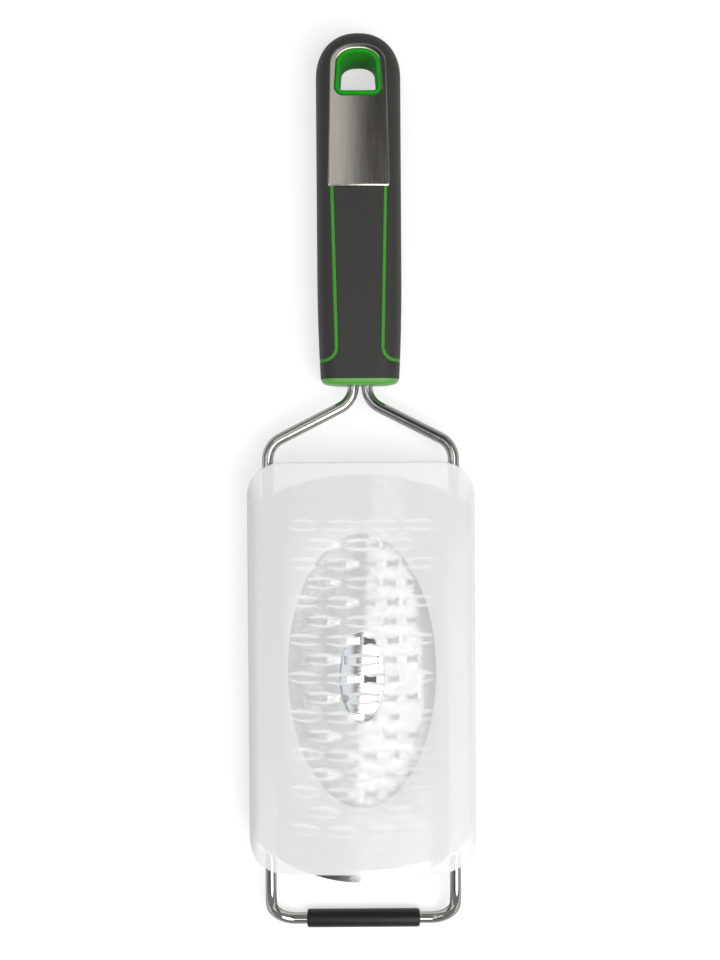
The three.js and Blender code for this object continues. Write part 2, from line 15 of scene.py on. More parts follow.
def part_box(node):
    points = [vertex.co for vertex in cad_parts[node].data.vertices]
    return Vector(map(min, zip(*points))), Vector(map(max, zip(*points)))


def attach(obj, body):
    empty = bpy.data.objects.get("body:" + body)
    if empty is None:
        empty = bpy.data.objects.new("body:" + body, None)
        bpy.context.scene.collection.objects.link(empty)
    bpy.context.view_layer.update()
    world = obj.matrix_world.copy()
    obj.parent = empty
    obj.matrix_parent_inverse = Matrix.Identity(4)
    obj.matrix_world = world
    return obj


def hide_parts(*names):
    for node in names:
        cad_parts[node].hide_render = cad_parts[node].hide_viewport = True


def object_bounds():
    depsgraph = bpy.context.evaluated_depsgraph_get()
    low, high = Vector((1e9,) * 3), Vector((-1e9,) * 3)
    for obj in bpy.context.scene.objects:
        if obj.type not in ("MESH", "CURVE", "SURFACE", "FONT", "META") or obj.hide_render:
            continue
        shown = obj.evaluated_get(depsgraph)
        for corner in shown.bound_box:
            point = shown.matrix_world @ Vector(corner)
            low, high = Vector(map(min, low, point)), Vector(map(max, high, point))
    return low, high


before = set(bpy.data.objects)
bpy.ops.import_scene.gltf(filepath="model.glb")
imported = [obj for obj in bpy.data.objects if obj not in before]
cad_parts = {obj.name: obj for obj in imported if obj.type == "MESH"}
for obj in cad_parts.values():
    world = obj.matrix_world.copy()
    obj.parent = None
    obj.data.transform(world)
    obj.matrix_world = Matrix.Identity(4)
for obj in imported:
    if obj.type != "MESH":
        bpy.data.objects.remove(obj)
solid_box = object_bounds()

print("nodes:", sorted(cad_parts))
print("box of the solids:", [tuple(round(v, 4) for v in corner) for corner in solid_box])

# %% [markdown]
# ## Drawing in millimetres
# A kitchen tool is easier to think of in millimetres, counted from the foot. So each piece is drawn that
# way, and one matrix scales it to metres and slides it into the frame when it is finished. The object
# itself stays at the origin, which keeps patterns on Object coordinates in their place.

# %% Turning a drawing into a piece
MILLIMETRE = 0.001
TO_FRAME = Matrix.Translation((0, solid_box[0].y, 0)) @ Matrix.Scale(MILLIMETRE, 4)


def make_piece(name, bm, node, body="grater", sharp=35):
    """Makes a finished drawing a piece of the scene; edges above an angle in degrees stay sharp."""
    bm.transform(TO_FRAME)
    for edge in bm.edges:
        edge.smooth = edge.calc_face_angle(0) < math.radians(sharp)
    for face in bm.faces:
        face.smooth = True
    mesh = bpy.data.meshes.new(name)
    bm.to_mesh(mesh)
    bm.free()
    piece = bpy.data.objects.new(name, mesh)
    bpy.context.scene.collection.objects.link(piece)
    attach(piece, body)
    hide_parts(node)
    size = [round(v / MILLIMETRE, 1) for v in piece.dimensions]
    print(name, "faces:", len(mesh.polygons), "size in mm:", size)
    return piece


print("drawings move along the grater by", round(TO_FRAME.to_translation().y, 4), "m")

# %% [markdown]
# ## Wire frame
# One polished steel wire makes the whole frame. It could be a curve with a round bevel, but spinning a
# ring round each bend's own centre gives true bending radii, as on a wire bending machine. One half is
# made from the middle of the crossbar up into the handle, and the other half is its mirror image.

# %% Sizes of the wire
WIRE_RADIUS = 2
WIRE_LEVEL = 10.5
SIDE_X = 33.5
STRAND_X = 2.45
CROSSBAR_AT = 3.3
CROSSBAR_LEVEL = 3.3
FOOT_BEND_AT = 13.58
LOWER_SHOULDER_AT = 177.58
SHOULDER_SLOPE = math.radians(27)
UPPER_SHOULDER_AT = LOWER_SHOULDER_AT + (SIDE_X - STRAND_X) * math.tan(SHOULDER_SLOPE)
STRAND_END_AT = 222
FOOT_TURN_RADIUS = 8.5
FOOT_BEND_RADIUS = 10
SHOULDER_RADIUS = 8.5
print("shoulders rise in mm:", round(UPPER_SHOULDER_AT - LOWER_SHOULDER_AT, 1))

# %% Straight runs and bends


def ring_run(bm, ring, travel):
    """Draws a ring of edges straight on and returns the new ring."""
    made = bmesh.ops.extrude_edge_only(bm, edges=ring)["geom"]
    verts = [part for part in made if isinstance(part, bmesh.types.BMVert)]
    bmesh.ops.translate(bm, verts=verts, vec=travel)
    return [part for part in made if isinstance(part, bmesh.types.BMEdge)]


def ring_bend(bm, ring, centre, axis, angle, steps=10):
    """Spins a ring of edges round a bend and returns the last ring."""
    verts = list({vert for edge in ring for vert in edge.verts})
    made = bmesh.ops.spin(bm, geom=verts + ring, cent=centre, axis=axis, angle=angle, steps=steps)
    return [part for part in made["geom_last"] if isinstance(part, bmesh.types.BMEdge)]


def bent_tube(bm, radius, corners, sides=24):
    """Leads a round tube along straight runs between corners, each a point with a bending radius."""
    place = corners[0][0]
    heading = (corners[1][0] - place).normalized()
    turn = Vector((0, 0, 1)).rotation_difference(heading).to_matrix().to_4x4()
    bmesh.ops.create_circle(bm, radius=radius, segments=sides, matrix=Matrix.Translation(place) @ turn)
    ring = bm.edges[:]
    for number in range(1, len(corners) - 1):
        corner, bend_radius = corners[number]
        inward = (corner - corners[number - 1][0]).normalized()
        outward = (corners[number + 1][0] - corner).normalized()
        angle = inward.angle(outward)
        run_in = bend_radius * math.tan(angle / 2)
        start = corner - inward * run_in
        axis = inward.cross(outward).normalized()
        ring = ring_run(bm, ring, start - place)
        ring = ring_bend(bm, ring, start + axis.cross(inward) * bend_radius, axis, angle)
        place = corner + outward * run_in
    ring = ring_run(bm, ring, corners[-1][0] - place)
    bmesh.ops.contextual_create(bm, geom=ring)


# %% Bend the wire
MERGE_WITHIN = 0.002

wire = bmesh.new()
bent_tube(wire, WIRE_RADIUS, [
    (Vector((0, CROSSBAR_AT, CROSSBAR_LEVEL)), 0),
    (Vector((SIDE_X, CROSSBAR_AT, CROSSBAR_LEVEL)), FOOT_TURN_RADIUS),
    (Vector((SIDE_X, FOOT_BEND_AT, WIRE_LEVEL)), FOOT_BEND_RADIUS),
    (Vector((SIDE_X, LOWER_SHOULDER_AT, WIRE_LEVEL)), SHOULDER_RADIUS),
    (Vector((STRAND_X, UPPER_SHOULDER_AT, WIRE_LEVEL)), SHOULDER_RADIUS),
    (Vector((STRAND_X, STRAND_END_AT, WIRE_LEVEL)), 0),
])
everything = wire.verts[:] + wire.edges[:] + wire.faces[:]
bmesh.ops.mirror(wire, geom=everything, matrix=Matrix.Identity(4), merge_dist=MERGE_WITHIN, axis="X")
bmesh.ops.remove_doubles(wire, verts=wire.verts, dist=MERGE_WITHIN)
bmesh.ops.recalc_face_normals(wire, faces=wire.faces)
wire_frame = make_piece("bent_wire", wire, "wire_frame", sharp=50)

# %% [markdown]
# ## Foot sleeve
# The foot wears a short rubber tube, so that it grips the rim of a bowl. A capped cylinder is enough to
# start from: its two ends are inset and pushed in where the wire enters, and the rims are rounded with a
# bevel, because moulded rubber never has a sharp rim.

# %% Mould the sleeve
SLEEVE_RADIUS = 3.3
SLEEVE_LENGTH = 41.5
SLEEVE_RIM = 0.9
SLEEVE_RIM_STEPS = 5
SLEEVE_SIDES = 40
SLEEVE_MOUTH_DEPTH = 3
WIRE_PLAY = 0.1

sleeve = bmesh.new()
lying = Matrix.Translation((0, CROSSBAR_AT, CROSSBAR_LEVEL)) @ Matrix.Rotation(math.pi / 2, 4, "Y")
bmesh.ops.create_cone(sleeve, cap_ends=True, segments=SLEEVE_SIDES, radius1=SLEEVE_RADIUS,
                      radius2=SLEEVE_RADIUS, depth=SLEEVE_LENGTH, matrix=lying)
ends = [face for face in sleeve.faces if len(face.verts) > 4]
rims = [edge for end in ends for edge in end.edges]
bmesh.ops.bevel(sleeve, geom=rims, offset=SLEEVE_RIM, offset_type="OFFSET", segments=SLEEVE_RIM_STEPS,
                profile=0.5, affect="EDGES", material=-1)
ends = [face for face in sleeve.faces if len(face.verts) > 4]
flat_rim = SLEEVE_RADIUS - SLEEVE_RIM - WIRE_RADIUS - WIRE_PLAY
bmesh.ops.inset_individual(sleeve, faces=ends, thickness=flat_rim)
for end in bmesh.ops.extrude_discrete_faces(sleeve, faces=ends)["faces"]:
    bmesh.ops.translate(sleeve, verts=end.verts[:], vec=-end.normal * SLEEVE_MOUTH_DEPTH)
foot_sleeve = make_piece("rubber_sleeve", sleeve, "foot_sleeve")

# %% [markdown]
# ## Weaving sheets
# Most of the other pieces are skins on bowed surfaces. They could be extruded edge by edge, but it is
# simpler to start from a flat grid and let a formula put each crossing in its place, like a net laid over
# a form. The grommet and the plug are nets too, which close on themselves.
# Where two nets meet, doubled points are merged and the faces turned outwards, before a wall gets its
# thickness. The frame tells where a solid begins and ends, so a piece that replaces it can fit.

# %% Helpers for woven sheets


def reach(node):
    """Where a solid begins and ends along the grater, in millimetres from the foot."""
    low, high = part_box(node)
    return (low.y - solid_box[0].y) / MILLIMETRE, (high.y - solid_box[0].y) / MILLIMETRE


def weave(bm, columns, rows, place):
    """Adds a grid of quads and puts each crossing where a function of its column and row says."""
    made = bmesh.ops.create_grid(bm, x_segments=columns, y_segments=rows, size=1)
    for vert in made["verts"]:
        column = round((vert.co.x + 1) / 2 * columns)
        row = round((vert.co.y + 1) / 2 * rows)
        vert.co = place(column, row)


def blend(low, high, share):
    """The value a given share of the way from one to another."""
    return low + (high - low) * share


def smooth(share):
    """An even share made slow at both ends."""
    share = min(1, max(0, share))
    return share * share * (3 - 2 * share)


def close_up(bm, inside):
    """Merges doubled points and turns every face away from a point inside the shape."""
    bmesh.ops.remove_doubles(bm, verts=bm.verts, dist=MERGE_WITHIN)
    bmesh.ops.recalc_face_normals(bm, faces=bm.faces)
    inside = Vector(inside)
    outward = [face.normal.dot(face.calc_center_median() - inside) * face.calc_area() for face in bm.faces]
    if sum(outward) < 0:
        bmesh.ops.reverse_faces(bm, faces=bm.faces)


print("the plate reaches in mm:", [round(v, 1) for v in reach("grater_plate")])

# %% [markdown]
# ## Grater plate
# The plate is one thin sheet, arched over the wires, with staggered rows of raised blades. On the real
# one the slits are etched and the strips between them are pressed up. The drawing goes the same way: a
# flat grid gets its lines where slits and strips need them, the slits' faces are deleted, the strips are
# lifted, and only then is the flat sheet bent over the arch and given its thickness.

# %% Sizes of the plate and its blades
ROWS = 17
ROW_PITCH = 6.8
HALF_PITCH = 7
TEETH_REACH = 4 * HALF_PITCH
CREST = 1.9
NECK = 4.2
ROOT = 6.3
CREST_HALF = 1.15
NECK_HALF = 0.75
ROOT_HALF = 1.3
BLADE_RISE = 1.2
SLIT_BELLY = 1.5
SLIT_END = 5.5
SLIT_HALF = 2.2
SLIT_END_HALF = 1.5
ARCH_RADIUS = 57.9
ARCH_TOP = 22.3
FLANGE_TOP = 13.3
ARCH_HALF_WIDTH = 31
PLATE_HALF_WIDTH = 38.5
plate_foot, plate_top = reach("grater_plate")
PLATE_HALF_LENGTH = (plate_top - plate_foot) / 2
PLATE_END_BOW = 10
PLATE_CENTRE_AT = (plate_foot + plate_top) / 2
PLATE_THICKNESS = 0.5
print("rows of blades:", ROWS, "over", round(ROWS * ROW_PITCH, 1), "mm")

# %% Outline of a blade and its slit


def blade_half(distance):
    """Half width of a blade at a distance from its middle: broad crest, narrow neck, broad root."""
    if distance < NECK:
        return blend(CREST_HALF, NECK_HALF, smooth((distance - CREST) / (NECK - CREST)))
    return blend(NECK_HALF, ROOT_HALF, smooth((distance - NECK) / (ROOT - NECK)))


def slit_half(distance):
    """Half height of the barrel-shaped opening round a blade."""
    return blend(SLIT_HALF, SLIT_END_HALF, smooth((distance - SLIT_BELLY) / (SLIT_END - SLIT_BELLY)))


def blade_lift(distance):
    """How far a blade stands above the sheet."""
    return BLADE_RISE * min(1, max(0, (ROOT - distance) / (ROOT - CREST)))


def from_blade(across, row):
    """Distance from the nearest blade's middle; even rows have four blades, the others three."""
    half_pitches = (-3, -1, 1, 3) if row % 2 == 0 else (-2, 0, 2)
    return min(abs(across - number * HALF_PITCH) for number in half_pitches)


# %% Lines of the flat grid
marks = sorted({0, CREST, NECK, SLIT_END, ROOT} | {HALF_PITCH - m for m in (CREST, NECK, SLIT_END, ROOT)})
across_lines = [start + mark for start in range(-TEETH_REACH, TEETH_REACH, HALF_PITCH) for mark in marks]
across_lines.append(TEETH_REACH)
arch_reach = ARCH_RADIUS * math.asin(ARCH_HALF_WIDTH / ARCH_RADIUS)
flange_end = arch_reach + PLATE_HALF_WIDTH - ARCH_HALF_WIDTH
outer_lines = [(TEETH_REACH + arch_reach) / 2, arch_reach, (arch_reach + flange_end) / 2, flange_end]
across_lines = [-line for line in reversed(outer_lines)] + across_lines + outer_lines

ROW_LINES = ("seam", "slit below", "blade below", "blade above", "slit above")
along_lines = [(row, kind) for row in range(ROWS) for kind in ROW_LINES]
along_lines.append((ROWS, "seam"))
END_STEPS = 4
print("lines across:", len(across_lines), "lines along:", len(along_lines) + 2 * END_STEPS)

# %% [markdown]
# ## Bending the sheet
# A press bends the real sheet over a former after the blades are up. Here a formula does the same: it
# takes each point of the flat sheet to its place on the arch or on the flat flange beside it, and a lifted
# point goes out along the arch's radius.

# %% Formulas of the bent sheet
TEETH_HALF_LENGTH = ROWS * ROW_PITCH / 2
end_bow_radius = (PLATE_HALF_WIDTH ** 2 + PLATE_END_BOW ** 2) / (2 * PLATE_END_BOW)


def end_line(x):
    """The bowed end of the plate, as a distance from its middle."""
    return PLATE_HALF_LENGTH - end_bow_radius + math.sqrt(end_bow_radius ** 2 - x ** 2)


def over_arch(across):
    """Where a point of the flat sheet comes to lie across the grater: x, height and slope."""
    if abs(across) > arch_reach:
        return math.copysign(ARCH_HALF_WIDTH + abs(across) - arch_reach, across), FLANGE_TOP, 0
    slope = across / ARCH_RADIUS
    return ARCH_RADIUS * math.sin(slope), ARCH_TOP - ARCH_RADIUS * (1 - math.cos(slope)), slope


print("height of the arch at its sides:", round(over_arch(arch_reach)[1], 2), "flange:", FLANGE_TOP)

# %% Crossings of the flat sheet


def flat_sheet(column, row):
    """A crossing of the flat sheet: across, along from the middle of the plate, lift."""
    across = across_lines[column]
    line = row - END_STEPS
    if line < 0 or line >= len(along_lines):
        side = -1 if line < 0 else 1
        step = END_STEPS - row if line < 0 else line - len(along_lines) + 1
        end = end_line(over_arch(across)[0])
        return Vector((across, side * blend(TEETH_HALF_LENGTH, end, step / END_STEPS), 0))
    number, kind = along_lines[line]
    middle = (number - (ROWS - 1) / 2) * ROW_PITCH
    distance = from_blade(across, number)
    side = 1 if kind.endswith("above") else -1
    if kind == "seam":
        return Vector((across, middle - ROW_PITCH / 2, 0))
    if kind.startswith("slit"):
        return Vector((across, middle + side * slit_half(distance), 0))
    return Vector((across, middle + side * blade_half(distance), blade_lift(distance)))


def in_slit(face):
    """True for a face between a blade and the edge of its opening."""
    centre = face.calc_center_median()
    row = round(centre.y / ROW_PITCH + (ROWS - 1) / 2)
    distance = from_blade(centre.x, row)
    off_middle = abs(centre.y - (row - (ROWS - 1) / 2) * ROW_PITCH)
    return 0 <= row < ROWS and distance < SLIT_END and blade_half(distance) < off_middle < slit_half(distance)


# %% Cut, lift and bend the sheet
plate = bmesh.new()
weave(plate, len(across_lines) - 1, len(along_lines) + 2 * END_STEPS - 1, flat_sheet)
slits = [face for face in plate.faces if in_slit(face)]
bmesh.ops.delete(plate, geom=slits, context="FACES")
for vert in plate.verts:
    x, height, slope = over_arch(vert.co.x)
    lift = vert.co.z
    vert.co = (x + lift * math.sin(slope), PLATE_CENTRE_AT + vert.co.y, height + lift * math.cos(slope))
close_up(plate, (0, PLATE_CENTRE_AT, ARCH_TOP - ARCH_RADIUS))
bmesh.ops.solidify(plate, geom=plate.faces[:], thickness=PLATE_THICKNESS)
print("faces cut out for slits:", len(slits))
grater_plate = make_piece("bladed_plate", plate, "grater_plate", sharp=12)

# %% [markdown]
# ## Blade guard
# The guard is a thin plastic cover that slides on from the foot. Its bowed front rolls over into two side
# walls with lips that hook under the plate. A grid is shaped to that section, with rounded corners in
# plan. The oval window and the cut-out need round edge loops, so the middle of the grid is taken out and
# rings of edges are bridged and extruded into the gap.

# %% Sizes of the guard
GUARD_HALF_WIDTH = 40.5
guard_foot, guard_top = reach("blade_guard")
GUARD_HALF_LENGTH = (guard_top - guard_foot) / 2
GUARD_CENTRE_AT = (guard_foot + guard_top) / 2
GUARD_CROWN = 25.6
GUARD_ARCH = 229.6
GUARD_EDGE = 5
GUARD_CORNER = 12.5
GUARD_WALL = 1.3
LIP_FOOT = 11.2
LIP_END = 36.3
WINDOW_HALF = Vector((26.25, 48.5))
CUTOUT_HALF = Vector((7.9, 15.85))
WINDOW_DROP = 0.6
CUTOUT_DROP = 2.9
WINDOW_AT = GUARD_CENTRE_AT - WINDOW_DROP
CUTOUT_AT = GUARD_CENTRE_AT - CUTOUT_DROP
WINDOW_RECESS = 0.3
WINDOW_STEP = Vector((0.5, 0.5))
print("guard, half length and middle in mm:", round(GUARD_HALF_LENGTH, 1), round(GUARD_CENTRE_AT, 1))

# %% Section of the guard


def front_height(x):
    """Height of the bowed front."""
    return GUARD_CROWN - GUARD_ARCH + math.sqrt(GUARD_ARCH ** 2 - x ** 2)


edge_x = GUARD_HALF_WIDTH - GUARD_EDGE
edge_z = GUARD_CROWN - GUARD_ARCH + math.sqrt((GUARD_ARCH - GUARD_EDGE) ** 2 - edge_x ** 2)
lean = math.asin(edge_x / (GUARD_ARCH - GUARD_EDGE))
FRONT_STEPS = 13
EDGE_STEPS = 7
WALL_STEPS = 3
front_end = GUARD_ARCH * math.sin(lean)
front_points = [front_end * step / FRONT_STEPS for step in range(FRONT_STEPS + 1)]
section = [(x, front_height(x)) for x in front_points]
for step in range(1, EDGE_STEPS + 1):
    angle = blend(math.pi / 2 - lean, 0, step / EDGE_STEPS)
    section.append((edge_x + GUARD_EDGE * math.cos(angle), edge_z + GUARD_EDGE * math.sin(angle)))
for step in range(1, WALL_STEPS + 1):
    section.append((GUARD_HALF_WIDTH, blend(edge_z, LIP_FOOT, step / WALL_STEPS)))
section.append((LIP_END, LIP_FOOT))
print("points in half of the guard's section:", len(section))

# %% [markdown]
# ## Moulding the guard
# The real guard comes out of an injection mould in one piece. The grid is woven over the section first.
# A mouth is then cut into the front, and the window's rim is bridged to it. From the rim, rings of edges
# lead over a small step and inwards to the cut-out, so that both ovals stay smooth.

# %% Weave the shell
GUARD_ROWS = 36


def guard_end(x):
    """Half length of the guard at a distance from its middle line, with rounded corners."""
    past = abs(x) - (GUARD_HALF_WIDTH - GUARD_CORNER)
    if past <= 0:
        return GUARD_HALF_LENGTH
    return GUARD_HALF_LENGTH - GUARD_CORNER + math.sqrt(max(0, GUARD_CORNER ** 2 - past ** 2))


def guard_shell(column, row):
    """A crossing of the guard's outside."""
    side = column - (len(section) - 1)
    x, height = section[abs(side)]
    along = (2 * row / GUARD_ROWS - 1) * guard_end(x)
    return Vector((math.copysign(x, side), GUARD_CENTRE_AT + along, height))


guard = bmesh.new()
weave(guard, 2 * (len(section) - 1), GUARD_ROWS, guard_shell)
print("faces of the shell:", len(guard.faces))

# %% Cut the mouth and bridge the window's rim
MOUTH_COLUMNS = 10
MOUTH_HALF_LENGTH = 54
MOUTH_MARGIN = 0.1


def in_mouth(part):
    """True for a face or an edge of the front that lies in the mouth or on its edge."""
    return all(abs(vert.co.x) < section[MOUTH_COLUMNS][0] + MOUTH_MARGIN
               and abs(vert.co.y - GUARD_CENTRE_AT) < MOUTH_HALF_LENGTH
               and vert.co.z > edge_z for vert in part.verts)


middle = [face for face in guard.faces if in_mouth(face)]
bmesh.ops.delete(guard, geom=middle, context="FACES")
mouth = [edge for edge in guard.edges if edge.is_boundary and in_mouth(edge)]
rim = bmesh.ops.create_circle(guard, radius=1, segments=len(mouth), matrix=Matrix.Identity(4))["verts"]
for vert in rim:
    vert.co = (vert.co.x * WINDOW_HALF.x, WINDOW_AT + vert.co.y * WINDOW_HALF.y, 0)
    vert.co.z = front_height(vert.co.x)
ring = list({edge for vert in rim for edge in vert.link_edges})
bmesh.ops.bridge_loops(guard, edges=mouth + ring)
print("edges round the window:", len(mouth))

# %% Lead rings to the cut-out and give the wall its thickness
WINDOW_RINGS = 4


def oval_ring(bm, ring, share):
    """Extrudes a ring of edges inwards, a share of the way from the window to the cut-out."""
    verts = {vert for edge in ring for vert in edge.verts}
    low = min(vert.co.y for vert in verts)
    high = max(vert.co.y for vert in verts)
    wide = max(vert.co.x for vert in verts)
    half = blend(WINDOW_HALF - WINDOW_STEP, CUTOUT_HALF, share)
    centre = blend(WINDOW_AT, CUTOUT_AT, share)
    new_ring = ring_run(bm, ring, Vector((0, 0, 0)))
    for vert in {vert for edge in new_ring for vert in edge.verts}:
        vert.co.x *= half.x / wide
        vert.co.y = centre + (2 * (vert.co.y - low) / (high - low) - 1) * half.y
        vert.co.z = front_height(vert.co.x) - WINDOW_RECESS
    return new_ring


for number in range(WINDOW_RINGS + 1):
    ring = oval_ring(guard, ring, number / WINDOW_RINGS)
close_up(guard, (0, GUARD_CENTRE_AT, 0))
bmesh.ops.solidify(guard, geom=guard.faces[:], thickness=GUARD_WALL)
blade_guard = make_piece("plastic_guard", guard, "blade_guard", body="guard", sharp=40)

# %% Soften the guard's edges
SOFTENED_ABOVE = math.radians(40)
GUARD_SOFTENING = 0.25


def soften(piece, width, segments=2):
    """Adds a narrow live bevel, so that the edges catch the light."""
    bevel = piece.modifiers.new("softened edges", "BEVEL")
    bevel.width = width * MILLIMETRE
    bevel.segments = segments
    bevel.limit_method = "ANGLE"
    bevel.angle_limit = SOFTENED_ABOVE
    bevel.harden_normals = True


soften(blade_guard, GUARD_SOFTENING)
print("edges softened by", GUARD_SOFTENING, "mm")

# %% [markdown]
# ## Shape of the handle
# The handle is a flat bar with a domed top and rounded edges. Its surface can be written down: the plan
# gives the half width at each height, and the distance in from that outline gives how far the rounded
# edge has risen. All the soft grips and the green lines between them are drawn on this one surface, so
# that they stay flush.

# %% The handle as formulas
GRIP_END_AT = reach("front_grip")[0]
GRIP_HALF = 15.1
GRIP_END_HALF = 14.1
GRIP_TAPER = 37
GRIP_THICKNESS = 21
DOME_HEIGHT = 16
DOME_AT = (solid_box[1].y - solid_box[0].y) / MILLIMETRE - GRIP_END_AT - DOME_HEIGHT
DOME_POWER = 2.2
EDGE_DEPTH = 8.5
EDGE_WIDTH = 6
SKIN = 1.8


def half_width(up):
    """Half of the handle's width at a height above its lower end, below the dome."""
    taper = max(0, 1 - up / GRIP_TAPER)
    return GRIP_HALF - (GRIP_HALF - GRIP_END_HALF) * taper ** 2


def rounded_edge(inset):
    """Height of the front at a distance in from the handle's outline."""
    share = min(1, max(0, inset / EDGE_WIDTH))
    return GRIP_THICKNESS - EDGE_DEPTH + EDGE_DEPTH * math.sqrt(1 - (1 - share) ** 2)


def on_front(x, up, sink=0):
    """A point of the handle's front below the dome, or sunk a little under it."""
    return Vector((x, GRIP_END_AT + up, rounded_edge(half_width(up) - abs(x)) - sink))


def to_back(point):
    """The same point on the back of the handle."""
    return Vector((point.x, point.y, GRIP_THICKNESS - point.z))


handle_middle = (0, GRIP_END_AT + DOME_AT / 2, GRIP_THICKNESS / 2)
print("front at the middle:", on_front(0, 0).z, "at the outline:", round(on_front(GRIP_HALF, DOME_AT).z, 2))

# %% [markdown]
# ## Outlines with an arched top
# The hanging hole, the steel cap and the green bed on the back have the same kind of outline: flat below
# with small corners, straight sides and a squarish arch on top. One function draws them all with the
# same number of points, so that a ring of faces can be woven from one outline to another.

# %% Outline with an arched top
ARCH_POWER = 2 / 2.34
CORNER_STEPS = 10
BOTTOM_STEPS = 5
SIDE_STEPS = 10
ARCH_STEPS = 12


def arched_outline(bottom_half, shoulder_half, bottom, shoulder, top, corner, climb=0):
    """Closed outline of points across and up, from the middle of the bottom round to the left.

    On a long plate half of the corner's points climb some way up the side.
    """
    arc_steps = CORNER_STEPS // 2 if climb else CORNER_STEPS
    foot = bottom + corner
    right = [Vector(((bottom_half - corner) * step / BOTTOM_STEPS, bottom)) for step in range(BOTTOM_STEPS)]
    for step in range(arc_steps):
        angle = math.pi / 2 * step / arc_steps
        across = bottom_half - corner + corner * math.sin(angle)
        right.append(Vector((across, foot - corner * math.cos(angle))))
    side_points = [foot + climb * step / arc_steps for step in range(CORNER_STEPS - arc_steps)]
    side_points += [blend(foot + climb, shoulder, step / SIDE_STEPS) for step in range(SIDE_STEPS)]
    for up in side_points:
        right.append(Vector((blend(bottom_half, shoulder_half, (up - foot) / (shoulder - foot)), up)))
    for step in range(ARCH_STEPS + 1):
        angle = math.pi / 2 * step / ARCH_STEPS
        across = shoulder_half * max(0, math.cos(angle)) ** ARCH_POWER
        right.append(Vector((across, shoulder + (top - shoulder) * math.sin(angle) ** ARCH_POWER)))
    left = [Vector((-point.x, point.y)) for point in reversed(right[1:-1])]
    return right + left


# %% Outlines of hole and cap
HOLE_HALF = 6.7
HOLE_SHOULDER_HALF = 6.15
HOLE_END = 100.8
HOLE_SHOULDER = 109.8
HOLE_TOP = 114
HOLE_CORNER = 1.5
CAP_HALF = 10.95
CAP_SHOULDER_HALF = 10.1
CAP_END = 67.5
CAP_SHOULDER = 109.3
CAP_TOP = 117.3
CAP_CORNER = 0.8
CAP_CLIMB = 30


def hole_outline(margin):
    """The hanging hole, drawn out by a margin."""
    return arched_outline(HOLE_HALF + margin, HOLE_SHOULDER_HALF + margin, HOLE_END - margin, HOLE_SHOULDER,
                          HOLE_TOP + margin, HOLE_CORNER + margin)


def cap_outline(margin):
    """The steel cap plate, drawn out by a margin."""
    return arched_outline(CAP_HALF + margin, CAP_SHOULDER_HALF + margin, CAP_END - margin, CAP_SHOULDER,
                          CAP_TOP + margin, CAP_CORNER, CAP_CLIMB)


print("points in an outline:", len(hole_outline(0)))

# %% Faces between two outlines


def ring_between(bm, first, second, rows, height, drop=0):
    """Weaves a ring of faces between two outlines; the height can drop towards the first one."""
    count = len(first)

    def crossing(column, row):
        place = first[column % count].lerp(second[column % count], row / rows)
        lowered = height(place.x, place.y) - drop * (1 - row / rows)
        return Vector((place.x, GRIP_END_AT + place.y, lowered))

    weave(bm, count, rows, crossing)


# %% [markdown]
# ## Steel cap plate
# A brushed steel plate is let into the top of the handle, slightly crowned, with the hanging hole near
# its top. A ring of faces from the hole to the outer outline lies on the crown's cylinder. A narrow lip
# leans down along both outlines, because a ground lip mirrors another part of the room and so shows as a
# bright line. Then the ring gets the sheet's thickness.

# %% Crown the cap plate
CAP_CROWN = 80
CAP_LEVEL = 21.5
CAP_THICKNESS = 0.8
CAP_LIP = 0.5
HOLE_LIP = 0.3
LIP_SLOPE = 0.4
CROWN_ROWS = 14
CAP_SOFTENING = 0.15
LINER_WALL = 1.5
SEAM = 0.06


def crown(x, up):
    """Height of the crowned cap plate, the same all the way up."""
    return CAP_LEVEL - CAP_CROWN + math.sqrt(CAP_CROWN ** 2 - x ** 2)


cap = bmesh.new()
liner_seat = LINER_WALL + SEAM
hole_edge = hole_outline(liner_seat + HOLE_LIP)
outer_edge = cap_outline(-CAP_LIP)
ring_between(cap, hole_outline(liner_seat), hole_edge, 1, crown, HOLE_LIP * LIP_SLOPE)
ring_between(cap, hole_edge, outer_edge, CROWN_ROWS, crown)
ring_between(cap, cap_outline(0), outer_edge, 1, crown, CAP_LIP * LIP_SLOPE)
close_up(cap, (0, GRIP_END_AT + (CAP_END + CAP_TOP) / 2, CAP_LEVEL - CAP_CROWN))
bmesh.ops.solidify(cap, geom=cap.faces[:], thickness=CAP_THICKNESS)
cap_plate = make_piece("steel_cap", cap, "cap_plate", sharp=12)
soften(cap_plate, CAP_SOFTENING)

# %% [markdown]
# ## Hole liner
# A green grommet lines the hanging hole right through the handle and clamps the cap plate. Its section is
# a thin wall with rounded rims, carried once round the hole's outline. Weaving it from outlines with
# growing margins keeps the wall even at the corners.

# %% Line the hanging hole
LINER_LOW = 0.6
LINER_HIGH = 22
RIM_STEPS = 8

rim_half = LINER_WALL / 2
wall_section = []
for side, level in ((-1, LINER_HIGH - rim_half), (1, LINER_LOW + rim_half)):
    for step in range(RIM_STEPS + 1):
        angle = math.pi * step / RIM_STEPS
        margin = rim_half + side * rim_half * math.cos(angle)
        wall_section.append((margin, level - side * rim_half * math.sin(angle)))
wall_section.append(wall_section[0])
liner_outlines = [hole_outline(margin) for margin, height in wall_section]
count = len(liner_outlines[0])


def liner_crossing(column, row):
    """A crossing of the liner's surface."""
    place = liner_outlines[row][column % count]
    return Vector((place.x, GRIP_END_AT + place.y, wall_section[row][1]))


liner = bmesh.new()
weave(liner, count, len(wall_section) - 1, liner_crossing)
bmesh.ops.remove_doubles(liner, verts=liner.verts, dist=MERGE_WITHIN)
bmesh.ops.recalc_face_normals(liner, faces=liner.faces)
hole_liner = make_piece("hole_grommet", liner, "hole_liner", sharp=60)

